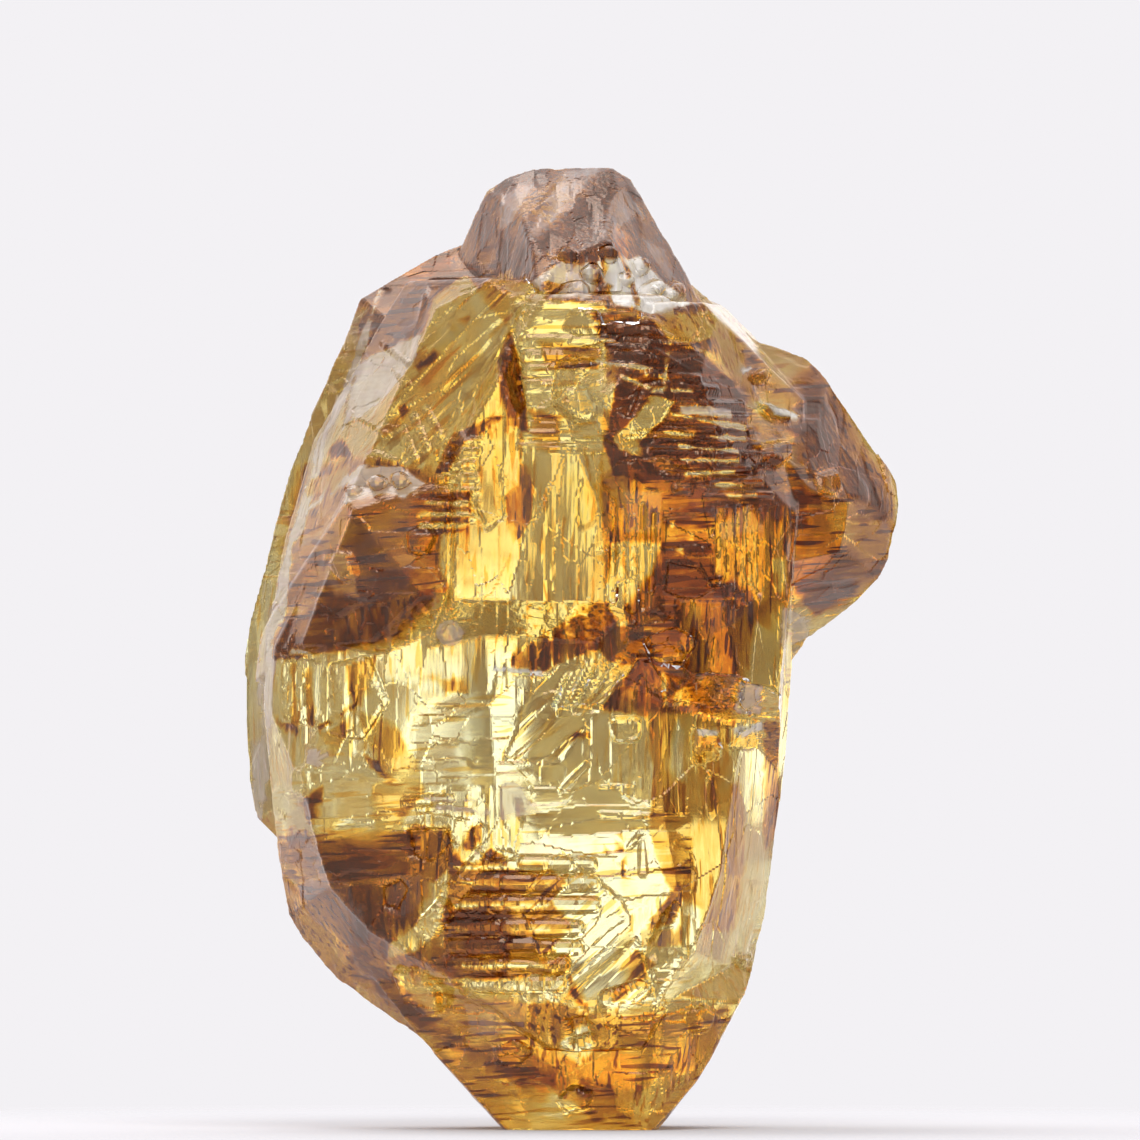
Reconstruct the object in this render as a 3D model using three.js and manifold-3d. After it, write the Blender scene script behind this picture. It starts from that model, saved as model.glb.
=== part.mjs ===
// A rough diamond: one clear yellow-brown crystal, taller than it is wide, standing on a small flat foot.
// Millimetres. +Z is up along the crystal, -Y is the broad front face and +X is the side lobe. The origin
// is under the middle of the crystal, level with the foot that it stands on.
//
// The crystal is an intergrowth. Each lobe is a convex block bounded by flat faces. The lobes are joined,
// and then ribs, steps, crusts, flutes and etch pits are added to their faces or cut into them.

import * as THREE from "three";
import { ConvexGeometry } from "three/addons/geometries/ConvexGeometry.js";
import { mergeVertices } from "three/addons/utils/BufferGeometryUtils.js";
import Module from "manifold-3d";

const BLANK = 30; // edge of the cube that each lobe is cleaved from, well over the crystal's height
const SINK = 0.12; // how far each added or cut piece runs past the face that it sits on
const STEPS = 24; // the points along a ridge line at which the face under it is looked up
const SHORTEST = 0.06; // a stretch of ridge shorter than this is left out
const FRONT_SIDE = -1; // the way along Y that a feature's face looks
const BACK_SIDE = 1;
const COLOUR = 0xc8902c;

// The lobes. A face is a row of azimuth, elevation and a point that it passes through: azimuth 0 looks to
// the front and 90 to the right. A rim is a run of corners on the outline, clockwise as seen from the
// front. Each stretch of it carries two faces, which lean to the front and to the back by the two leans.
const LOBES = {
  // the tall crystal that carries the rest: thin and parallel-faced below, thicker above
  main: {
    leans: [24, 30],
    rims: [
      [
        [1.12, 0.15, 7.89], [1.73, 0.05, 7.37], [2.05, -0.05, 6.95], [2.12, -0.35, 5.33],
        [2.02, -0.35, 3.64], [1.9, -0.25, 2.32], [1.72, -0.15, 1.43], [1.33, -0.05, 0.66],
        [1.2, -0.05, 0.45], [0.8, -0.05, -0.02],
      ],
      [
        [-0.25, -0.05, -0.02], [-1.95, -0.1, 1.19], [-2.22, -0.15, 1.39], [-2.53, -0.15, 1.76],
        [-2.66, -0.25, 1.97], [-2.77, -0.35, 2.49], [-2.85, -0.55, 3.26], [-2.92, -0.65, 3.92],
        [-2.89, -0.65, 4.48], [-2.73, -0.55, 5.33], [-2.44, -0.05, 6.59], [-1.89, 0.15, 7.8],
      ],
    ],
    faces: [
      [1, -2, 0.08, -1.85, 3], [36, 0, 0.9, -1.81, 3], [62, 3, 1.68, -1.35, 3.6],
      [-4, 10, -0.32, -2.15, 5.6], [-26, 18, -0.87, -1.97, 6.4], [30, 26, 0.98, -2, 6.9],
      [-15, -3, -1.17, -1.77, 3.6], [-50, 2, -2.42, -1.35, 4.2], [-14, -26, -0.92, -1.73, 1.5],
      [-48, -22, -2.12, -1.3, 1.9], [6, -34, 0.18, -1.7, 0.95], [46, -20, 1.23, -1.45, 1.2],
      [10, 54, 0.68, -1.4, 7.75], [-50, 50, -1.32, -1.05, 7.75], [190, -3, 0.28, 1.23, 3],
      [187, 10, 0.28, 1.85, 5.6], [222, 0, -1.27, 1, 4], [232, 30, -1.22, 1.05, 6.7],
      [140, 5, 1.58, 1.9, 4.2], [130, 34, 1.28, 1.35, 7.2], [178, -30, 0.08, 0.97, 0.45],
      [225, -28, -1.42, 0.95, 1.2], [132, -24, 1.23, 0.95, 1.2], [0, 90, 0.08, -0.15, 7.9],
      [0, -90, 0.08, -0.15, 0.8],
    ],
  },
  // the front half of the foot
  toe: {
    leans: [5, 5],
    rims: [
      [
        [1.84, -0.75, 1.86], [1.71, -0.75, 1.43], [1.3, -0.75, 0.64], [1.17, -0.75, 0.44],
        [0.79, -0.75, -0.02],
      ],
      [
        [-0.63, -0.75, -0.02], [-1.4, -0.75, 0.82], [-1.77, -0.75, 1.29],
      ],
    ],
    faces: [
      [-2, -13, -0.02, -1.48, 0.9], [-40, -20, -0.87, -1.27, 0.9], [42, -14, 1.06, -1.27, 0.9],
      [3, 20, 0.08, -1.6, 1.25], [46, 30, 1.13, -1.3, 1.25], [-46, 30, -1.37, -1.2, 1.3],
      [180, -26, 0.08, -0.41, 0], [0, 90, 0.08, -0.15, 1.6], [0, -90, 0.08, -0.15, 0],
    ],
  },
  // the back half of the foot
  heel: {
    leans: [5, 5],
    rims: [
      [
        [1.84, 0.65, 1.86], [1.72, 0.65, 1.43], [1.32, 0.65, 0.64], [1.19, 0.65, 0.44],
        [0.81, 0.65, -0.02],
      ],
      [
        [-0.66, 0.65, -0.02], [-1.43, 0.65, 0.82], [-1.8, 0.65, 1.29],
      ],
    ],
    faces: [
      [178, -16, 0.08, 1.35, 0.6], [140, -20, 1.03, 1.1, 0.8], [218, -22, -0.77, 1, 0.8],
      [0, -26, 0.08, 0.15, 0], [180, 22, 0.08, 1.47, 1.2], [134, 30, 1.13, 1, 1.25],
      [226, 30, -1.37, 0.9, 1.3], [0, 90, 0.08, -0.15, 1.6], [0, -90, 0.08, -0.15, 0],
    ],
  },
  // a plate along the left edge, set back from the front
  slab: {
    leans: [40, 35],
    rims: [
      [
        [-2.77, 0.25, 2.7], [-2.97, 0.25, 2.89], [-3.05, 0.25, 3.26], [-3.1, 0.25, 4.01],
        [-3.1, 0.25, 4.39], [-3.07, 0.25, 4.76], [-2.77, 0.25, 5.89], [-2.68, 0.25, 6.21],
        [-1.88, 0.25, 7.83],
      ],
    ],
    faces: [
      [-48, 12, -2.47, -0.15, 5.3], [-60, 4, -2.87, -0.15, 4.2], [228, 10, -2.74, 0.8, 5],
      [198, 4, -2.32, 0.8, 4.6], [90, 0, -0.52, -0.15, 5], [0, 0, 0.08, -0.9, 5],
      [0, 90, 0.08, -0.15, 7.72],
    ],
  },
  // the upper left slope
  shoulder: {
    leans: [34, 34],
    closed: true,
    rims: [
      [
        [-1.96, 0.15, 7.75], [-1.19, 0.15, 8.19], [-0.67, 0.15, 8.41], [-0.11, 0.15, 8.12],
        [0.26, 0.15, 6.64], [-1.43, 0.15, 6.45], [-2.12, 0.15, 7.32],
      ],
    ],
    faces: [
      [-44, 44, -1.32, -0.95, 7.98], [0, 0, 0.08, -1.35, 7], [180, 0, 0.08, 1.35, 7],
    ],
  },
  // the blunt peak
  peak: {
    leans: [26, 30],
    closed: true,
    rims: [
      [
        [-1.07, 0.05, 8.12], [-0.86, 0.05, 8.61], [-0.79, 0.05, 8.77], [-0.6, 0.05, 8.9],
        [-0.25, 0.05, 9], [0.38, -0.05, 8.99], [0.55, -0.05, 8.88], [0.67, -0.05, 8.7],
        [1.11, -0.15, 7.88], [1.34, -0.15, 7.43], [0.26, -0.15, 6.45], [-0.96, -0.15, 6.64],
      ],
    ],
    faces: [
      [-30, 40, -0.47, -1, 8.38], [24, 26, 0.43, -1.1, 8.25], [2, 56, 0.38, -1.5, 8.02],
      [-58, 30, -0.87, -0.9, 8.3], [180, 26, 0.08, 0.85, 8.25], [148, 44, 0.58, 0.7, 8.6],
      [215, 40, -0.72, 0.75, 8.4], [0, 0, 0.08, -2.05, 7], [180, 0, 0.08, 1.35, 7],
    ],
  },
  // the side lobe
  lump: {
    leans: [30, 32],
    closed: true,
    rims: [
      [
        [1.62, 0.05, 7.41], [2.19, 0.05, 7.22], [2.39, 0.05, 7.02], [3.06, 0.05, 6.08],
        [3.1, 0.05, 5.86], [3.08, 0.05, 5.7], [2.98, 0, 5.33], [2.89, -0.05, 5.14], [2.71, -0.05, 4.95],
        [2.21, -0.15, 4.59], [1.2, -0.15, 4.11], [0.64, -0.15, 5.33], [0.82, -0.15, 6.83],
      ],
    ],
    faces: [
      [34, 20, 1.98, -1.3, 6.2], [46, -6, 2.18, -1.2, 5.5], [34, -46, 1.98, -1, 5],
      [8, 12, 1.48, -1.75, 6], [142, 8, 2.38, 1.35, 5.8], [165, 40, 1.68, 1.35, 6.8],
      [150, -40, 1.88, 1.2, 4.8],
    ],
  },
  // the bulge on the upper right of the front, with an undercut lower edge
  brow: {
    faces: [
      [14, -5, 0.98, -2.41, 5.2], [22, 16, 0.98, -2.37, 6.4], [-48, -8, 0.38, -2.25, 5.2],
      [-28, -42, 0.83, -2.1, 4.2], [12, -62, 1.28, -1.8, 3.98], [48, 4, 1.58, -2.05, 5.4],
      [38, 38, 1.33, -1.9, 7.1], [-24, 42, 0.33, -2.15, 7.2], [180, 0, 0.08, 0.35, 5],
      [90, -4, 1.98, -0.15, 4], [84, 44, 1.76, -0.75, 7.22], [60, 20, 1.83, -1.35, 6.5],
      [-90, 0, -0.12, -0.15, 5], [0, 90, 0.08, -0.15, 7.7],
    ],
  },
  // the bulge on the upper right of the back
  back: {
    faces: [
      [150, 4, 1.48, 2.53, 5.1], [188, 9, 0.58, 2.3, 5.2], [118, -2, 2.43, 1.3, 5.4],
      [140, -34, 1.48, 2.05, 3.35], [150, 42, 1.48, 1.95, 6.7], [98, -34, 1.9, 0.75, 4.3],
      [192, -40, 0.38, 1.95, 3.5], [196, 40, 0.38, 1.85, 6.9], [242, 0, -0.17, 1.75, 5],
      [90, 24, 2.36, 0.75, 6.2], [90, 50, 1.23, -0.15, 7.6], [0, 90, 0.08, -0.15, 7.5],
      [0, 0, 0.08, 0.05, 5],
    ],
  },
  // the bulge on the left of the front, with a ledge on top
  cheek: {
    faces: [
      [-34, -8, -1.82, -1.93, 5.2], [-8, 14, -1.52, -2.01, 5.6], [-26, 54, -1.8, -1.65, 6],
      [58, 0, -1.04, -2.05, 5.4], [8, -46, -1.52, -1.87, 4.7], [-30, -52, -2.12, -1.6, 4.55],
      [-62, 8, -2.54, -1.05, 5.3], [180, 0, 0.08, -0.55, 5], [-80, 26, -2.54, -1.05, 5.2],
    ],
  },
  // the flat panel in the middle of the front
  panel: {
    faces: [
      [-2, 9, -0.12, -2.25, 5.6], [-6, 13, -0.22, -2.23, 6.6], [-72, 6, -1.12, -2.05, 5.6],
      [-60, 30, -0.78, -2.05, 6.8], [70, 0, 0.53, -2.15, 5.6], [-4, -50, -0.32, -2.21, 4.82],
      [4, 50, -0.02, -1.99, 7.66], [180, 0, 0.08, -1.15, 6], [0, 90, 0.08, -0.15, 7.76],
    ],
  },
};

// Straight ridges, or grooves where the rise is below zero. Each line is x and z of its two ends, on the
// front of the crystal where no side is given, and it follows the faces that it crosses.
const RIDGES = {
  // growth ribs across the brow
  browRibs: {
    width: 0.085,
    rise: 0.045,
    lines: [
      [0.9, 6.78, 1.59, 6.77], [0.86, 6.67, 1.65, 6.65], [0.82, 6.55, 1.69, 6.52],
      [0.78, 6.44, 1.74, 6.4], [0.73, 6.33, 1.76, 6.28], [0.79, 6.22, 1.78, 6.16],
      [0.86, 6.1, 1.8, 6.05], [0.94, 5.99, 1.86, 5.93],
    ],
  },
  // short ribs on the upper edge of the brow
  upperRibs: {
    width: 0.08,
    rise: 0.04,
    lines: [
      [0.28, 7.58, 0.64, 7.56], [0.36, 7.47, 0.78, 7.43], [0.47, 7.35, 1.11, 7.3],
      [0.32, 7.22, 0.75, 7.18], [0.47, 7.06, 1.18, 7.01], [1.01, 6.94, 1.35, 6.9],
    ],
  },
  // low bands across the panel
  panelBands: {
    width: 0.09,
    rise: 0.03,
    lines: [
      [-0.58, 7.34, 0.32, 7.37], [-0.6, 7.22, 0.26, 7.24], [-0.6, 7.09, 0.3, 7.11],
      [-0.56, 6.94, 0.26, 6.95], [-0.47, 6.49, 0.38, 6.48], [-0.49, 6.37, 0.32, 6.35],
    ],
  },
  // the stair of steps between the cheek and the panel
  stair: {
    width: 0.075,
    rise: 0.05,
    lines: [
      [-1.16, 6.41, -0.86, 6.43], [-1.18, 6.3, -0.88, 6.32], [-1.22, 6.19, -0.92, 6.21],
      [-1.24, 6.07, -0.9, 6.08], [-1.27, 5.94, -0.88, 5.95], [-1.27, 5.82, -0.88, 5.83],
      [-1.26, 5.7, -0.92, 5.71],
    ],
  },
  // broad ribs at the lower left
  lowerRibs: {
    width: 0.13,
    rise: 0.06,
    lines: [
      [-0.86, 2.5, 0.19, 2.49], [-0.92, 2.32, 0.21, 2.31], [-1.01, 2.12, 0.22, 2.11],
      [-1.12, 1.91, 0.07, 1.89], [-1.14, 1.72, 0.06, 1.71], [-1.12, 1.56, -0.06, 1.54],
      [-1.09, 1.4, -0.11, 1.38],
    ],
  },
  // fine upright ribs at the left edge
  leftFlutes: {
    width: 0.06,
    rise: 0.04,
    lines: [
      [-2.68, 4.43, -2.66, 3.86], [-2.61, 4.42, -2.59, 3.81], [-2.53, 4.43, -2.51, 3.79],
      [-2.46, 4.4, -2.44, 3.82],
    ],
  },
  // a fan of feathers under the panel
  fan: {
    width: 0.055,
    rise: 0.035,
    lines: [
      [-0.18, 3.96, -0.02, 4.27], [-0.08, 3.92, 0.13, 4.37], [0.02, 3.92, 0.26, 4.42],
      [0.12, 3.94, 0.38, 4.36], [0.21, 3.96, 0.47, 4.24],
    ],
  },
  // thin raised streaks
  streaks: {
    width: 0.06,
    rise: 0.05,
    lines: [
      [-1.54, 3.07, -1.12, 3.11], [-1.39, 3.01, -0.94, 2.95], [-2.7, 4.46, -2.34, 4.41],
    ],
  },
  // feathered etching on the upper left face
  feathers: {
    width: 0.05,
    rise: 0.03,
    lines: [
      [-1.76, 7.33, -1.43, 7.09], [-1.65, 7.09, -1.5, 6.92], [-1.99, 6.64, -1.69, 6.47],
      [-1.57, 6.54, -1.44, 6.24], [-1.46, 6.66, -1.33, 6.34], [-1.35, 6.73, -1.2, 6.45],
      [-1.88, 6.34, -1.63, 6.21],
    ],
  },
  // single etch lines
  darts: {
    width: 0.04,
    rise: 0.03,
    lines: [
      [0.26, 3.21, 0.58, 3.23], [0.53, 2.64, 0.64, 2.79], [0.65, 2.7, 0.66, 2.4],
      [0.26, 2.96, 0.73, 2.94], [-0.64, 6.08, -0.62, 5.7], [-0.73, 4.01, -0.69, 4.24],
      [-0.61, 4.39, -0.59, 4.11], [-0.49, 4.27, -0.22, 4.24],
    ],
  },
  // upright flutes in the brow
  flutes: {
    width: 0.085,
    rise: -0.07,
    lines: [
      [0.38, 5.87, 0.38, 4.95], [0.47, 5.81, 0.46, 4.58], [0.56, 5.85, 0.56, 4.74],
      [0.67, 5.83, 0.66, 4.89], [0.77, 5.76, 0.75, 5.04],
    ],
  },
  // a second set of flutes to the right
  sideFlutes: {
    width: 0.085,
    rise: -0.06,
    lines: [
      [1.37, 5.74, 1.38, 5.06], [1.46, 5.81, 1.47, 4.95], [1.56, 5.83, 1.57, 4.91],
      [1.66, 5.81, 1.67, 4.95], [1.76, 5.76, 1.77, 5.01],
    ],
  },
  // cleavage cracks
  cracks: {
    width: 0.05,
    rise: -0.06,
    lines: [
      [-0.67, 6.09, -0.65, 5.74], [-0.81, 5.61, -0.64, 5.74], [-0.96, 5.94, -0.81, 5.61],
      [-0.11, 3.9, 0.26, 3.94], [-0.11, 3.17, 0.15, 3.43], [0.9, 3.96, 1.2, 3.9],
    ],
  },
  // growth ribs across the bulge
  backRibs: {
    side: BACK_SIDE,
    width: 0.09,
    rise: 0.045,
    lines: [
      [0.26, 6.64, 1.69, 6.6], [0.22, 6.49, 1.74, 6.44], [0.19, 6.34, 1.78, 6.3],
      [0.26, 6.19, 1.82, 6.13], [0.32, 6.02, 1.8, 5.98], [0.38, 5.85, 1.84, 5.8],
    ],
  },
  // broad ribs low on the back
  backLowRibs: {
    side: BACK_SIDE,
    width: 0.12,
    rise: 0.05,
    lines: [
      [-0.96, 3.07, -0.11, 3.11], [-1.03, 2.87, -0.06, 2.91], [-0.99, 2.64, -0.11, 2.68],
      [-0.92, 2.44, -0.19, 2.46], [-0.86, 2.23, -0.22, 2.24],
    ],
  },
  // fine upright ribs on the plate at the edge
  backFlutes: {
    side: BACK_SIDE,
    width: 0.06,
    rise: 0.04,
    lines: [
      [-2.55, 6.08, -2.61, 5.36], [-2.4, 6.17, -2.49, 5.23], [-2.23, 6.08, -2.31, 5.33],
      [-2.64, 4.58, -2.66, 3.86], [-2.49, 4.61, -2.51, 3.77], [-2.34, 4.58, -2.36, 3.86],
    ],
  },
};

// Flat-topped plates and faceted bumps, or pits where the rise is below zero. Each outline is x and z of
// its corners, on the front where no side is given. The taper is the size of its top against its foot.
const PLATES = {
  // flat-topped growth steps
  steps: {
    rise: 0.07,
    taper: 0.86,
    outlines: [
      [[0.64, 6.96], [0.9, 7.01], [0.96, 6.83], [0.79, 6.52], [0.62, 6.45], [0.49, 6.6]],
      [[0.22, 6.66], [0.41, 6.71], [0.58, 6.64], [0.6, 6.47], [0.38, 6.39], [0.26, 6.49]],
      [[-0.49, 7.61], [0.26, 7.59], [0.3, 7.44], [-0.53, 7.42]],
      [[-0.15, 6.88], [0.43, 6.9], [0.71, 6.73], [0.64, 6.56], [-0.04, 6.6], [-0.22, 6.75]],
      [[-2.27, 4.37], [-1.88, 4.46], [-1.69, 4.01], [-1.93, 3.62], [-2.27, 3.67]],
      [[-1.18, 2.17], [-0.84, 2.64], [-0.81, 2.53], [-0.96, 2.27], [-1.09, 2.12]],
      [[-1.63, 1.71], [-1.18, 2.19], [-1.09, 2.1], [-1.24, 1.86], [-1.52, 1.61]],
      [[-1.69, 1.52], [-1.43, 1.52], [-1.22, 1.33], [-1.18, 1.11], [-1.35, 1.05], [-1.57, 1.27]],
      [[1.56, 4.16], [1.74, 4.18], [1.78, 3.97], [1.59, 3.88], [1.48, 3.99]],
      [[1.5, 3.79], [1.73, 3.81], [1.72, 3.58], [1.48, 3.58]],
      [[0.86, 5.33], [1.2, 5.27], [1.35, 5.04], [1.11, 4.91], [0.82, 5.02]],
      [[0.24, 1.29], [0.64, 1.43], [0.86, 1.16], [0.64, 0.92], [0.3, 1.01]],
    ],
  },
  // low faceted bumps
  facets: {
    rise: 0.09,
    taper: 0.45,
    outlines: [
      [[-2.29, 5.31], [-2.17, 5.51], [-1.99, 5.47], [-1.89, 5.19], [-2.06, 5.02], [-2.21, 5.12]],
      [[-1.61, 5.61], [-1.33, 5.74], [-1.18, 5.57], [-1.33, 5.27], [-1.57, 5.33]],
      [[-0.22, 0.3], [0, 0.47], [0.28, 0.39], [0.19, 0.19], [-0.09, 0.11]],
      [[0.97, 1.11], [1.2, 1.26], [1.41, 1.14], [1.29, 0.88], [1.03, 0.86]],
      [[-0.81, 0.82], [-0.49, 0.96], [-0.24, 0.77], [-0.45, 0.53], [-0.77, 0.58]],
      [[1.65, 6.84], [2.06, 6.71], [2.08, 6.56], [1.8, 6.64]],
      [[1.61, 7.05], [1.76, 7.14], [1.88, 7.01], [1.72, 6.92]],
      [[1.69, 6.45], [2.04, 6.52], [2.14, 6.3], [1.91, 6.11], [1.69, 6.21]],
      [[1.2, 5.59], [1.43, 5.7], [1.52, 5.4], [1.33, 5.27]],
      [[2.19, 6.17], [2.48, 6.24], [2.61, 5.98], [2.4, 5.77], [2.17, 5.89]],
      [[-2.64, 3.45], [-2.38, 3.52], [-2.27, 3.17], [-2.46, 3.02], [-2.62, 3.11]],
    ],
  },
  // the crystalline crust on the ledges
  crust: {
    rise: 0.1,
    taper: 0.25,
    outlines: [
      [[-0.19, 8.12], [-0.06, 8.23], [0.07, 8.12], [-0.04, 7.99]],
      [[0.02, 7.97], [0.17, 8.1], [0.3, 7.95], [0.17, 7.84]],
      [[0.17, 8.16], [0.32, 8.25], [0.43, 8.14], [0.32, 8.03]],
      [[0.32, 7.91], [0.47, 8.04], [0.6, 7.91], [0.47, 7.76]],
      [[0.49, 8.12], [0.64, 8.16], [0.73, 7.99], [0.58, 7.91]],
      [[0.6, 7.84], [0.75, 7.95], [0.86, 7.8], [0.73, 7.69]],
      [[0.79, 7.88], [0.92, 7.91], [1.05, 7.74], [0.9, 7.69]],
      [[-0.11, 7.84], [0.11, 7.86], [0.21, 7.74], [-0.06, 7.72]],
      [[-2.14, 5.89], [-2.02, 6.02], [-1.89, 5.94], [-2.01, 5.83]],
      [[-1.93, 6.02], [-1.78, 6.11], [-1.67, 6.02], [-1.82, 5.92]],
      [[-1.72, 6.08], [-1.56, 6.13], [-1.46, 6.04], [-1.61, 5.94]],
    ],
  },
  // deep clefts
  clefts: {
    rise: -0.2,
    taper: 0.35,
    outlines: [
      [
        [-0.55, 7.48], [-0.44, 7.33], [-0.41, 6.99], [-0.38, 6.66], [-0.49, 6.52], [-0.6, 6.71],
        [-0.67, 7.09],
      ],
      [[1.03, 2.31], [0.98, 2.08], [0.79, 1.67], [0.56, 1.35], [0.64, 1.74], [0.82, 2.1]],
    ],
  },
  // flat-floored etch pits
  flats: {
    rise: -0.07,
    taper: 0.72,
    outlines: [
      [[-1.61, 2.87], [-1.12, 2.89], [-0.97, 2.68], [-1.31, 2.44], [-1.56, 2.51]],
      [[-0.99, 2.83], [-0.88, 2.94], [-0.77, 2.85], [-0.82, 2.62], [-0.96, 2.55]],
      [[-0.84, 2.49], [-0.73, 2.66], [-0.49, 2.62], [-0.45, 2.49]],
      [[-1.84, 2.32], [-1.57, 2.44], [-1.43, 2.29], [-1.59, 1.97], [-1.82, 2.04]],
      [[1.11, 3.9], [1.41, 3.9], [1.43, 3.45], [1.16, 3.41]],
      [[0.38, 4.11], [0.64, 4.46], [0.9, 4.11], [0.73, 3.97]],
      [[0.64, 4.58], [0.97, 4.74], [1.2, 4.58], [0.97, 4.31], [0.73, 4.35]],
      [[-0.11, 1.11], [0.19, 1.16], [0.26, 0.86], [-0.02, 0.79]],
      [[0.32, 3.86], [0.64, 3.86], [0.64, 3.64], [0.36, 3.62]],
    ],
  },
  // a round etch pit
  bubble: {
    rise: -0.05,
    taper: 0.5,
    outlines: [
      [
        [-1.25, 4.65], [-1.22, 4.73], [-1.13, 4.78], [-1.05, 4.73], [-1.02, 4.65], [-1.05, 4.56],
        [-1.13, 4.52], [-1.22, 4.56],
      ],
    ],
  },
  // flat-topped growth steps
  backSteps: {
    side: BACK_SIDE,
    rise: 0.08,
    taper: 0.86,
    outlines: [
      [[-0.11, 5.33], [0.64, 5.44], [0.9, 4.95], [0.64, 4.39], [0, 4.48]],
      [[-1.8, 5.33], [-1.24, 5.44], [-0.96, 4.95], [-1.12, 4.2], [-1.72, 4.31]],
      [[0.45, 3.81], [0.97, 3.9], [1.11, 3.36], [0.64, 3.17]],
      [[-1.61, 6.83], [-1.05, 6.9], [-0.9, 6.45], [-1.33, 6.17], [-1.69, 6.39]],
      [[-0.67, 1.33], [-0.11, 1.43], [0.07, 1.01], [-0.39, 0.82], [-0.71, 1.05]],
      [[1.24, 5.33], [1.72, 5.4], [1.82, 4.89], [1.37, 4.76]],
      [[-1.54, 3.49], [-1.12, 3.56], [-1.03, 3.07], [-1.39, 2.96]],
    ],
  },
  // low faceted bumps
  backBumps: {
    side: BACK_SIDE,
    rise: 0.09,
    taper: 0.45,
    outlines: [
      [[-1.33, 7.48], [-1.12, 7.56], [-1.03, 7.37], [-1.18, 7.22], [-1.35, 7.29]],
      [[0.64, 6.84], [0.84, 6.94], [0.97, 6.79], [0.82, 6.66], [0.66, 6.69]],
      [[2.49, 6.17], [2.72, 6.24], [2.81, 6], [2.62, 5.85], [2.48, 5.96]],
      [[-0.11, 0.64], [0.11, 0.73], [0.3, 0.62], [0.17, 0.41], [-0.07, 0.45]],
      [[-2.87, 4.95], [-2.7, 5.02], [-2.62, 4.82], [-2.77, 4.71]],
      [[-0.49, 5.7], [-0.26, 5.81], [-0.11, 5.62], [-0.3, 5.44], [-0.49, 5.51]],
      [[1.11, 4.2], [1.31, 4.27], [1.41, 4.07], [1.22, 3.96]],
    ],
  },
  // flat-floored etch pits
  backPits: {
    side: BACK_SIDE,
    rise: -0.07,
    taper: 0.7,
    outlines: [
      [[-0.67, 4.01], [-0.22, 4.11], [-0.06, 3.67], [-0.49, 3.45], [-0.75, 3.67]],
      [[-2.27, 3.45], [-1.93, 3.52], [-1.82, 3.07], [-2.14, 2.96]],
      [[0.82, 4.58], [1.2, 4.65], [1.31, 4.31], [1.01, 4.16]],
      [[-1.24, 6.08], [-0.9, 6.17], [-0.79, 5.77], [-1.12, 5.66]],
      [[0.26, 7.27], [0.64, 7.35], [0.75, 7.09], [0.41, 7.01]],
      [[0.64, 2.32], [0.97, 2.4], [1.05, 1.95], [0.75, 1.82]],
    ],
  },
};

const wasm = await Module();
wasm.setup();

// A closed three.js geometry as a manifold-3d solid.
function solid(geometry) {
  const bare = geometry.clone();
  for (const name of Object.keys(bare.attributes)) {
    if (name !== "position") bare.deleteAttribute(name);
  }
  const merged = mergeVertices(bare, 1e-5);
  return new wasm.Manifold(
    new wasm.Mesh({
      numProp: 3,
      vertProperties: merged.attributes.position.array,
      triVerts: new Uint32Array(merged.index.array),
    }),
  );
}

// A manifold-3d solid as a three.js geometry.
function geometryOf(shape) {
  const { numProp, numVert, vertProperties, triVerts } = shape.getMesh();
  const points = new Float32Array(numVert * 3);
  for (let i = 0; i < numVert; i++) {
    points.set(vertProperties.subarray(i * numProp, i * numProp + 3), i * 3);
  }
  return new THREE.BufferGeometry()
    .setAttribute("position", new THREE.BufferAttribute(points, 3))
    .setIndex(new THREE.BufferAttribute(triVerts, 1));
}

// The direction that a face looks in.
function facing(azimuth, elevation) {
  const a = THREE.MathUtils.degToRad(azimuth);
  const e = THREE.MathUtils.degToRad(elevation);
  return new THREE.Vector3(Math.sin(a) * Math.cos(e), -Math.cos(a) * Math.cos(e), Math.sin(e));
}

const point = (row) => new THREE.Vector3(...row);
const plane = (normal, through) => new THREE.Plane().setFromNormalAndCoplanarPoint(normal, through);

// The pairs of faces along one rim.
function rimFaces(corners, leans, closed) {
  const points = corners.map(point);
  const faces = [];
  for (let i = 0; i < points.length - (closed ? 0 : 1); i++) {
    const along = points[(i + 1) % points.length].clone().sub(points[i]);
    const out = new THREE.Vector3(-along.z, 0, along.x).normalize();
    leans.forEach((lean, side) => {
      const a = THREE.MathUtils.degToRad(side ? lean : -lean);
      const normal = out.clone().multiplyScalar(Math.cos(a));
      normal.y = Math.sin(a);
      normal.addScaledVector(along, -normal.dot(along) / along.lengthSq()).normalize();
      faces.push(plane(normal, points[i]));
    });
  }
  return faces;
}

// All the faces of a lobe.
function facesOf({ rims = [], leans, closed = false, faces }) {
  const planes = rims.flatMap((corners) => rimFaces(corners, leans, closed));
  for (const [azimuth, elevation, ...through] of faces) {
    planes.push(plane(facing(azimuth, elevation), point(through)));
  }
  return planes;
}

const lobeFaces = Object.values(LOBES).map(facesOf);

// A lobe: a blank cube, with what lies outside each face cleaved off.
function cleave(planes) {
  const waste = new THREE.BoxGeometry(2 * BLANK, 2 * BLANK, 2 * BLANK).translate(0, 0, BLANK);
  let lobe = solid(new THREE.BoxGeometry(BLANK, BLANK, BLANK));
  for (const { normal, constant } of planes) {
    const turn = new THREE.Quaternion().setFromUnitVectors(new THREE.Vector3(0, 0, 1), normal);
    const place = new THREE.Matrix4().makeRotationFromQuaternion(turn);
    place.setPosition(normal.clone().multiplyScalar(-constant));
    lobe = lobe.subtract(solid(waste.clone().applyMatrix4(place)));
  }
  return lobe;
}

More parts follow.
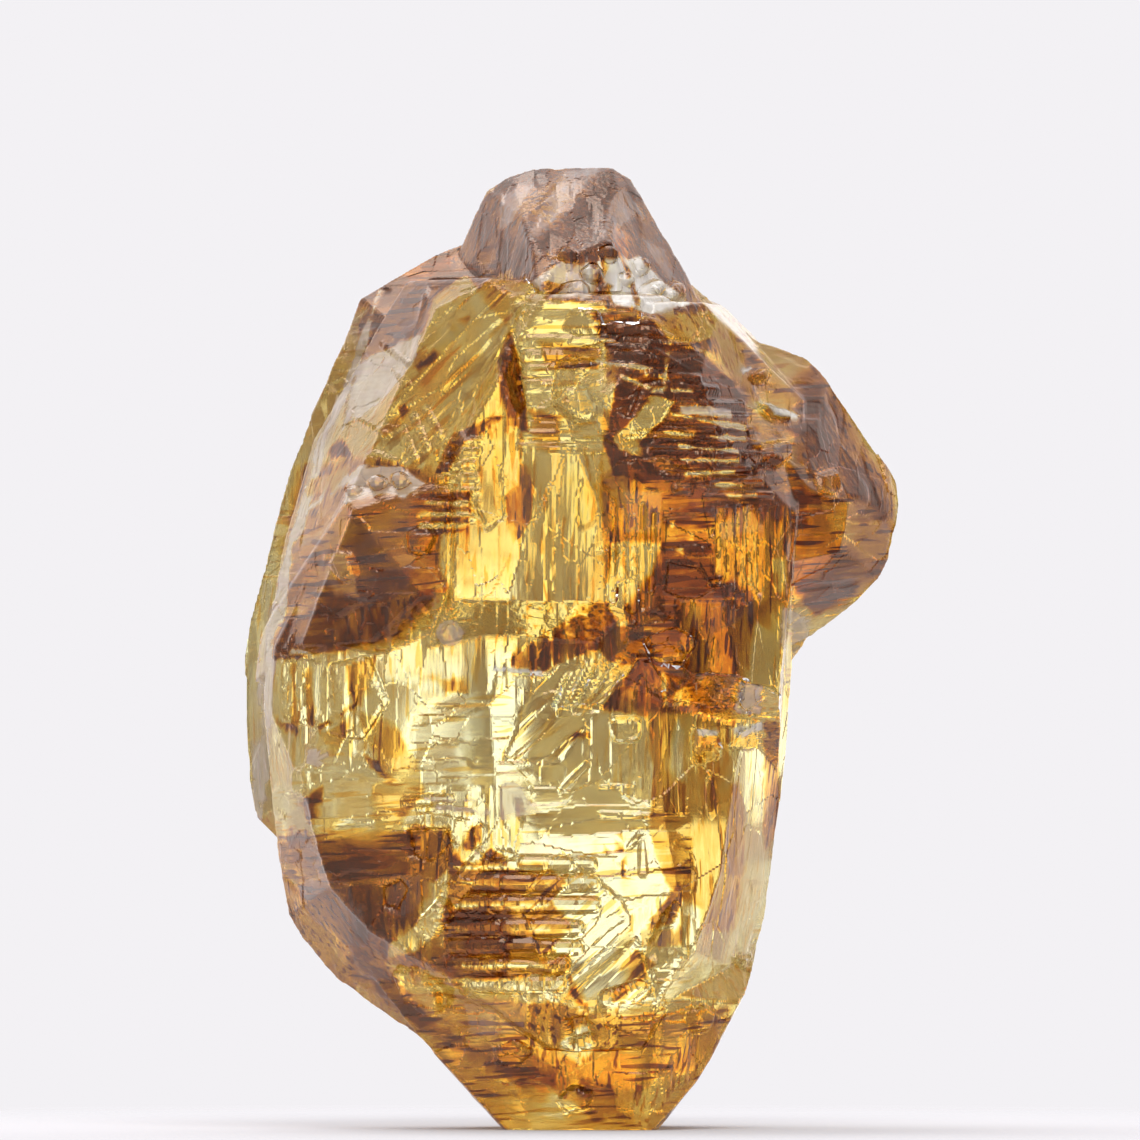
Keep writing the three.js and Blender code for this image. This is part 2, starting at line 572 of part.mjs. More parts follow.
// Where a line along Y at x and z leaves the crystal on one side, and the face that it leaves by.
function surface(x, z, side) {
  let reach = -Infinity;
  let face = null;
  for (const planes of lobeFaces) {
    let near = Infinity;
    let far = -Infinity;
    let first = null;
    for (const each of planes) {
      const slope = side * each.normal.y;
      const crossing = -(each.normal.x * x + each.normal.z * z + each.constant) / slope;
      if (slope < 0) far = Math.max(far, crossing);
      if (slope > 0 && crossing < near) {
        near = crossing;
        first = each;
      }
    }
    if (far < near && near > reach) {
      reach = near;
      face = first;
    }
  }
  return { place: new THREE.Vector3(x, side * reach, z), face };
}

// A ridge with a three-sided section and sloping ends. Its sides run on past its foot by SINK.
function ridge(from, to, out, width, rise) {
  const along = to.clone().sub(from).normalize();
  const across = new THREE.Vector3().crossVectors(along, out).normalize();
  const foot = (width / 2) * (1 + SINK / Math.abs(rise));
  const corners = [];
  for (const [end, outward] of [[from, -1], [to, 1]]) {
    corners.push(end.clone().addScaledVector(out, rise));
    for (const side of [-foot, foot]) {
      const corner = end.clone().addScaledVector(along, outward * Math.abs(rise));
      corner.addScaledVector(out, -Math.sign(rise) * SINK);
      corners.push(corner.addScaledVector(across, side));
    }
  }
  return solid(new ConvexGeometry(corners));
}

// The ridges along one line: one for each stretch between the edges that the line crosses.
function ridgesAlong([x1, z1, x2, z2], side, width, rise) {
  const runs = [];
  for (let i = 0; i <= STEPS; i++) {
    const x = THREE.MathUtils.lerp(x1, x2, i / STEPS);
    const z = THREE.MathUtils.lerp(z1, z2, i / STEPS);
    const { place, face } = surface(x, z, side);
    if (runs.length && runs.at(-1).face === face) runs.at(-1).to = place;
    else runs.push({ face, from: place, to: place });
  }
  return runs
    .filter(({ from, to }) => from.distanceTo(to) > SHORTEST)
    .map(({ from, to, face }) => ridge(from, to, face.normal, width, rise));
}

// A plate with a flat foot SINK under its face and a flat, smaller top.
function plate(outline, side, rise, taper) {
  const hits = outline.map(([x, z]) => surface(x, z, side));
  const middle = new THREE.Vector3();
  const out = new THREE.Vector3();
  for (const { place, face } of hits) {
    middle.addScaledVector(place, 1 / hits.length);
    out.add(face.normal);
  }
  out.normalize();
  const corners = hits.flatMap(({ place }) => {
    const reach = place.clone().sub(middle);
    reach.addScaledVector(out, -reach.dot(out));
    return [
      middle.clone().add(reach).addScaledVector(out, -Math.sign(rise) * SINK),
      middle.clone().addScaledVector(reach, taper).addScaledVector(out, rise),
    ];
  });
  return solid(new ConvexGeometry(corners));
}

const added = lobeFaces.map(cleave);
const cut = [];
for (const { side = FRONT_SIDE, width, rise, lines } of Object.values(RIDGES)) {
  for (const line of lines) (rise > 0 ? added : cut).push(...ridgesAlong(line, side, width, rise));
}
for (const { side = FRONT_SIDE, rise, taper, outlines } of Object.values(PLATES)) {
  for (const outline of outlines) (rise > 0 ? added : cut).push(plate(outline, side, rise, taper));
}

// The largest shell alone, which fills the tiny voids that pieces close off between them.
const shells = wasm.Manifold.union(added).subtract(wasm.Manifold.union(cut)).decompose();
const crystal = shells.reduce((largest, shell) => (shell.volume() > largest.volume() ? shell : largest));

const diamond = new THREE.Mesh(
  geometryOf(crystal),
  new THREE.MeshStandardMaterial({ color: COLOUR, roughness: 0.1, metalness: 0, flatShading: true }),
);
diamond.name = "rough_diamond";

const group = new THREE.Group();
group.add(diamond);
export default group;
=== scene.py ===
# %% [markdown]
# # A rough diamond
# The real object is one natural crystal, about 9 mm tall: clear, yellow to brown, with flat cleavage and
# growth faces, stair-like steps, ribs, flutes and small etch pits. Everything here is in metres, in the
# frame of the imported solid, so the crystal stands at the origin on its own small foot.

import bmesh
import bpy
import numpy as np
from mathutils import Matrix, Vector


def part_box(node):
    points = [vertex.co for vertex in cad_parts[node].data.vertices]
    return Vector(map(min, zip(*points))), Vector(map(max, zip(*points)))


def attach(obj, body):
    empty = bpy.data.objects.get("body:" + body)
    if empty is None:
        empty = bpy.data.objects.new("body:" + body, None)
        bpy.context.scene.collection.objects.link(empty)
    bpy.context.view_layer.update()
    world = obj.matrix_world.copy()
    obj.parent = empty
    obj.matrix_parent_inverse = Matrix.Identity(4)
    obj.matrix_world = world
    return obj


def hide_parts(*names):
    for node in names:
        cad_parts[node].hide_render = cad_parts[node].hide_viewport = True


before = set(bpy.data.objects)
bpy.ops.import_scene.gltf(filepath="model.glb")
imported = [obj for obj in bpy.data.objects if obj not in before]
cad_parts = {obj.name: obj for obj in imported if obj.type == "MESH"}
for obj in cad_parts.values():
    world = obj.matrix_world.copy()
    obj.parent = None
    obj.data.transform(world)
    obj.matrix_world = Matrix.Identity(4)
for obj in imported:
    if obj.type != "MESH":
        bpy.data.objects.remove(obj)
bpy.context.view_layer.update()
MM = 0.001  # one millimetre in Blender's metres
cad_low, cad_high = (np.array(corner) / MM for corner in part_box("rough_diamond"))
print("the solid runs from", cad_low.round(2), "to", cad_high.round(2), "mm")

# %% [markdown]
# ## Smooth noise
# Natural faces are never quite regular. Value noise gives that: each corner of a lattice has a fixed
# number from an integer hash, and a point takes a smooth blend of the eight corners round it. It is the
# same on every run, because it uses no random generator.


# %% Value noise on whole arrays
def hashed(cell, seed):
    """A number from 0 to 1 for each lattice cell: the cell's three integers are mixed by multiplying and
    by folding the high bits over the low ones."""
    i, j, k = (cell[:, axis].astype(np.int64).astype(np.uint32) for axis in range(3))
    mixed = i * np.uint32(374761393) + j * np.uint32(668265263) + k * np.uint32(2246822519)
    mixed = mixed + np.uint32(seed * 3266489917 % 2**32)
    mixed = (mixed ^ (mixed >> np.uint32(13))) * np.uint32(1274126177)
    return (mixed ^ (mixed >> np.uint32(16))).astype(float) / 2**32


def noise(points, stretch, seed):
    """Value noise from 0 to 1. The points are multiplied by the stretch, cells are one unit wide, and
    the eight corner values are blended with weights t * t * (3 - 2 * t)."""
    scaled = points * np.asarray(stretch, float)
    cell = np.floor(scaled)
    t = scaled - cell
    t = t * t * (3 - 2 * t)
    total = np.zeros(len(points))
    for corner in np.ndindex(2, 2, 2):
        weight = np.prod(np.where(corner, t, 1 - t), axis=1)
        total += weight * hashed(cell + corner, seed)
    return total


def smoothstep(low, high, value):
    """0 below low, 1 above high, and a smooth rise t * t * (3 - 2 * t) between them."""
    t = np.clip((value - low) / (high - low), 0, 1)
    return t * t * (3 - 2 * t)


# %% [markdown]
# ## The skin of the crystal
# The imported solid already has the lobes, ledges, ribs and pits. It could be shown as it is, but its flat
# faces are too clean: on the real crystal every face is stepped and etched. The lobes overhang each
# other, so no single grid of two parameters reaches all of it. A copy of the solid is therefore turned
# into an even net by a voxel remesh, and the relief is then worked out with numpy on that whole net.

# %% An even net over the solid
VOXEL = 0.02  # mm
WELD = 1e-5  # mm within which the corners of two triangles are one point
SMOOTHINGS = 3  # rounds that take the stair steps off the net


def array_of(layer, name, width):
    """One row of numbers for each item of a mesh's layer, such as the places of its points."""
    values = np.empty(len(layer) * width, np.float32)
    layer.foreach_get(name, values)
    return values.reshape(-1, width).astype(float)


def net_of(node, voxel):
    """A copy of a node in millimetres, with its loose triangles joined and remeshed to even squares."""
    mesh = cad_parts[node].data.copy()
    copy = bpy.data.objects.new("net", mesh)
    bpy.context.scene.collection.objects.link(copy)
    mesh.materials.clear()
    mesh.transform(Matrix.Scale(1 / MM, 4))
    weld = copy.modifiers.new("weld", "WELD")
    weld.merge_threshold = WELD
    remesh = copy.modifiers.new("remesh", "REMESH")
    remesh.mode = "VOXEL"
    remesh.voxel_size = voxel
    smooth = copy.modifiers.new("smooth", "SMOOTH")
    smooth.iterations = SMOOTHINGS
    net = bpy.data.meshes.new_from_object(copy.evaluated_get(bpy.context.evaluated_depsgraph_get()))
    bpy.data.objects.remove(copy)
    bpy.data.meshes.remove(mesh)
    return net


net = net_of("rough_diamond", VOXEL)
points = array_of(net.vertices, "co", 3)
normals = array_of(net.vertex_normals, "vector", 3)
print("the net has", len(points), "points from", points.min(0).round(2), "to", points.max(0).round(2))

# %% [markdown]
# ## Relief
# Three kinds of relief lie over the plain faces of the solid. Facets are small flat faces, each a few
# degrees off its neighbour. Blades are long thin facets that lie side by side along the grain, as growth
# steps do, and each one bends the light another way. Grooves are the finest growth lines. The grain is
# level or upright on most faces and slanted on a few. All three are formulas of the point.


# %% Facets, and turning points to the grain
STEP = 0.05  # of a cell, over which a slope is measured


def facets(at, size, slow, seed):
    """Flat faces of about the given size in mm. A point belongs to the nearest of the seeds scattered
    one per lattice cell, and its face is the plane that touches slow noise at that seed: the noise
    there, plus the slope of the noise times the way from the seed to the point."""
    scaled = at / size
    cell = np.floor(scaled)
    nearest = np.full(len(at), np.inf)
    home = np.zeros_like(scaled)
    for corner in np.ndindex(3, 3, 3):
        own = cell + corner - 1
        spot = own + np.column_stack([hashed(own, seed + axis) for axis in range(3)])
        away = ((scaled - spot) ** 2).sum(1)
        home = np.where((away < nearest)[:, None], spot, home)
        nearest = np.minimum(away, nearest)
    level = noise(home, slow, seed + 3)
    height = level - 0.5
    for axis, step in enumerate(STEP * np.eye(3)):
        slope = (noise(home + step, slow, seed + 3) - level) / STEP
        height += slope * (scaled - home)[:, axis]
    return height


def turned(at, angle):
    """The points turned about the Y axis, so that the angle, in degrees from level, becomes level."""
    turn = np.radians(angle)
    along = at[:, 0] * np.cos(turn) + at[:, 2] * np.sin(turn)
    across = at[:, 2] * np.cos(turn) - at[:, 0] * np.sin(turn)
    return np.column_stack([along, at[:, 1], across])


# %% Inside an outline, and the way of the grain
def inside(at, outline):
    """The distance in mm to the nearest side of the outline, above zero inside it and below zero
    outside. A point is inside where a level line from it crosses the sides an odd number of times."""
    start = np.array(outline)
    side = np.roll(start, -1, axis=0) - start
    away = at[:, None, :] - start
    along = np.clip((away * side).sum(2) / (side**2).sum(1), 0, 1)
    distance = np.linalg.norm(away - along[..., None] * side, axis=2).min(1)
    end = start + side
    spans = (start[:, 1] > at[:, 1:]) != (end[:, 1] > at[:, 1:])
    rise = np.where(side[:, 1] == 0, 1e-9, side[:, 1])
    crossing = start[:, 0] + (at[:, 1:] - start[:, 1]) * side[:, 0] / rise
    odd = (spans & (at[:, :1] < crossing)).sum(1) % 2 == 1
    return np.where(odd, distance, -distance)


LEVEL, UPRIGHT, SLANTED = 0.0, 0.5, 1.0
SLANT = 42  # degrees from level
GRAINS = [
    (SLANTED, [
        (-1.33, 7.86), (0.26, 7.86), (-0.59, 7.47), (-0.87, 6.9), (-1.11, 6.65), (-1.39, 6.16),
        (-2.14, 6.38), (-1.82, 6.73), (-1.48, 7.16),
    ]),
    (LEVEL, [(-0.53, 7.73), (0.33, 7.73), (0.26, 6.36), (-0.41, 6.54), (-0.53, 7.01)]),
    (UPRIGHT, [(-1.1, 6.36), (0.26, 6.36), (0.3, 4.95), (-0.11, 4.58), (-1.05, 4.58), (-1.24, 5.33)]),
    (LEVEL, [
        (0.15, 7.64), (0.73, 7.57), (1.53, 7.01), (2.14, 6.36), (2.04, 5.7), (0.83, 5.89), (0.3, 6.39),
        (0.4, 7.01),
    ]),
    (UPRIGHT, [(0.32, 5.96), (0.83, 5.96), (0.83, 4.86), (0.36, 4.69)]),
    (UPRIGHT, [(1.33, 5.81), (2.04, 5.81), (2.04, 4.95), (1.69, 4.91), (1.46, 5.13), (1.33, 5.21)]),
    (UPRIGHT, [(0.99, 4.95), (2.04, 4.95), (1.8, 2.61), (1.53, 1.2), (1.11, 1.11), (1.11, 2.61)]),
    (UPRIGHT, [(-2.81, 4.43), (-2.25, 4.43), (-2.27, 3.76), (-2.77, 3.82)]),
    (SLANTED, [
        (-0.28, 4.27), (-0.03, 4.41), (0.25, 4.49), (0.58, 4.35), (0.27, 3.94), (-0.11, 3.45),
        (-0.67, 3.45),
    ]),
    (UPRIGHT, [(-0.53, 4.45), (0.4, 4.86), (0.4, 4.35), (-0.42, 4.34)]),
    (LEVEL, [(-1.2, 2.47), (-0.11, 2.47), (-0.11, 1.47), (-1.24, 1.47)]),
    (UPRIGHT, [(-0.53, 1.47), (0.09, 1.47), (0.09, 1.11), (-0.53, 1.11)]),
    (SLANTED, [(-0.11, 2.61), (0.45, 2.14), (0.82, 1.2), (-0.11, 1.2), (-0.49, 2.14)]),
]


def grain_of(at, out):
    """Which way the strokes run at each point: level or upright in turn by slow noise, and on the faces
    listed above their own way, where they look to the front."""
    grain = UPRIGHT * smoothstep(0.45, 0.55, noise(at, (1.1, 1.1, 1.1), 23))
    front = smoothstep(0.1, 0.3, -out[:, 1])
    for way, outline in GRAINS:
        share = front * smoothstep(-0.05, 0.05, inside(at[:, [0, 2]], outline))
        grain += share * (way - grain)
    return grain


# %% [markdown]
# ## Height of the relief
# The three kinds are added up, and the sum moves each point of the net along its normal. The moved net
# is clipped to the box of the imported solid, so the crystal keeps its stated size. Merging triangles where
# the skin is plain then brings the net under the limit on triangles, and keeps the front dense.

# %% Blades and grooves along the grain
WAYS = [(LEVEL, 4, 21), (UPRIGHT, 88, 31), (SLANTED, SLANT, 51)]  # grain, degrees from level, seed
BLADE = (0.9, 0.4, 0.16)  # mm along, through and across
GROOVE = (0.45, 0.45, 0.1)  # mm, the same way


def blades_and_grooves(at, out):
    """Blades are the heights of long thin facets, about zero. Grooves are the top of long thin noise,
    from 0 to 1. Each of the three ways counts where the grain is near it."""
    grain = grain_of(at, out)
    blades, grooves = np.zeros((2, len(at)))
    for way, angle, seed in WAYS:
        share = np.clip(1 - 2 * np.abs(grain - way), 0, 1)
        near = np.flatnonzero(share > 0)
        lined = turned(at[near], angle)
        blades[near] += share[near] * facets(lined, BLADE, 0.7, seed)
        grooves[near] += share[near] * smoothstep(0.62, 0.78, noise(lined / GROOVE, 1, seed + 5))
    return blades, grooves


# %% The sum of the relief
FACET_SIZE = 0.8  # mm
FACET_HEIGHT = 0.18  # mm
BLADE_HEIGHT = 0.055  # mm
GROOVE_DEPTH = 0.011  # mm
PLAIN_SIDES = 0.6  # share of the facets' height that the sides and back have
PLAIN_LINES = 0.4  # and of the blades' and grooves'
FOOT = (0.02, 0.3)  # mm over which the relief rises from nothing above the foot


def relief(at, out):
    """The height in mm over the plain face: facets, blades and grooves on the front, lower ones on the
    smoother sides and back, and nothing close to the foot, so that it stands on its flats."""
    front = smoothstep(0.3, 0.8, -out[:, 1])
    blades, grooves = blades_and_grooves(at, out)
    large = FACET_HEIGHT * facets(at, FACET_SIZE, 0.4, 60)
    fine = BLADE_HEIGHT * blades - GROOVE_DEPTH * grooves
    height = large * (PLAIN_SIDES + (1 - PLAIN_SIDES) * front)
    height += fine * (PLAIN_LINES + (1 - PLAIN_LINES) * front)
    return height * smoothstep(*FOOT, at[:, 2])


# %% Merging triangles where the skin is plain
def thinned(mesh, name, share, plain):
    """The mesh with some of its triangles merged away, down to a share of them. Plain is a number from
    0 to 1 for each point, and most of what goes is taken where it is high."""
    holder = bpy.data.objects.new(name, mesh)
    bpy.context.scene.collection.objects.link(holder)
    group = holder.vertex_groups.new(name="plain")
    for level in np.unique(plain):
        group.add(np.flatnonzero(plain == level).tolist(), float(level), "REPLACE")
    thin = holder.modifiers.new("thin", "DECIMATE")
    thin.ratio = share
    thin.vertex_group = group.name
    thin.vertex_group_factor = 1.0
    made = bpy.data.meshes.new_from_object(holder.evaluated_get(bpy.context.evaluated_depsgraph_get()))
    holder.modifiers.clear()
    holder.vertex_groups.clear()
    holder.data = made
    made.name = name
    bpy.data.meshes.remove(mesh)
    return holder


def without_slips(mesh):
    """Takes out the slips that merging can leave beside the crystal: two triangles back to back on the
    same three points. It gives their number."""
    edit = bmesh.new()
    edit.from_mesh(mesh)
    alike = {}
    for face in edit.faces:
        alike.setdefault(frozenset(corner.index for corner in face.verts), []).append(face)
    slips = [face for faces in alike.values() if len(faces) > 1 for face in faces]
    bmesh.ops.delete(edit, geom=slips, context="FACES")
    edit.to_mesh(mesh)
    edit.free()
    return len(slips) // 2


# %% The skin of the crystal
MOST_TRIANGLES = 198_000
points = points + normals * relief(points, normals)[:, None]
points = np.clip(points, cad_low, cad_high)
net.vertices.foreach_set("co", (points * MM).astype(np.float32).ravel())
net.update()
triangles = sum(len(face.vertices) - 2 for face in net.polygons)
plain = np.round(1 - 0.9 * smoothstep(0, 0.4, -normals[:, 1]), 1)
crystal = thinned(net, "rough_diamond_skin", min(1, MOST_TRIANGLES / triangles), plain)
slips = without_slips(crystal.data)
print("thinned from", triangles, "to", len(crystal.data.polygons), "faces, with", slips, "slips out")
facing = array_of(crystal.data.polygon_normals, "vector", 3)[:, 1]
print("share of them that looks to the front:", (facing < -0.2).mean().round(2))

# %% [markdown]
# ## Where the stone is pale, golden, brown or frosted, and where shade, sheen and highlights are painted
# A rough stone is one colour inside, but its faces don't look alike, and their looks are painted into the
# skin. Each finish below is a tone, from 0 for pale to 1 for the darkest brown, a share of haze, and how
# much of it goes right through to the back. The tones are partly the stone's own stain and partly painted
# shade: a smooth face lets the light through and looks pale, and the golden to dark brown faces stand
# where steep faces turn the light back inside. The haze is partly real etching and partly painted light:
# the mauve and lilac patches are a painted sheen, the silver, white and rib patches are painted
# highlights, and the pale haze patches along the left and right rims are painted reflections. Each patch
# is an outline of one face, seen from the front, as x and z in mm.

# %% The finishes and the faces that have them
# The golden, brown and dark tones are partly the stone's own stain and partly painted shade of steep faces.
FINISHES = {
    "broad straw": (0.02, 0.02, 0.45),
    "broad golden": (0.2, 0.0, 0.45),
    "broad orange": (0.46, 0.0, 0.45),
    "broad amber": (0.52, 0.03, 0.45),
    "broad brown": (0.7, 0.03, 0.45),
    "broad russet": (0.84, 0.04, 0.9),
    "pale": (0.0, 0.03, 0.0),
    "straw": (0.06, 0.02, 0.0),
    "yellow": (0.13, 0.0, 0.0),
    "golden": (0.33, 0.02, 0.0),
    "orange": (0.44, 0.0, 0.0),
    "amber": (0.56, 0.03, 0.0),
    "olive": (0.42, 0.3, 0.0),
    "brown": (0.76, 0.03, 0.0),
    "russet": (0.84, 0.03, 0.0),
    "umber": (0.74, 0.2, 0.0),
    "dark": (0.95, 0.0, 0.0),
    # Mauve and lilac: brown and amber under a painted sheen, the reflection of the pale surroundings put in
    # as colour.
    "painted mauve sheen": (0.78, 0.2, 0.0),
    "painted lilac sheen": (0.6, 0.42, 0.0),
    # Haze laid along the left and right rims is a painted reflection of the bright surroundings at a
    # grazing angle.
    "frost_and_sheen": (0.12, 0.5, 0.0),
    # Silver, rib and white are painted highlights: pale colour where the ledges, the ribs' tops and the
    # crust catch the light.
    "painted silver highlight": (0.3, 0.55, 0.0),
    "painted rib highlight": (0.0, 0.4, 0.0),
    "painted white highlight": (0.0, 0.7, 0.0),
}
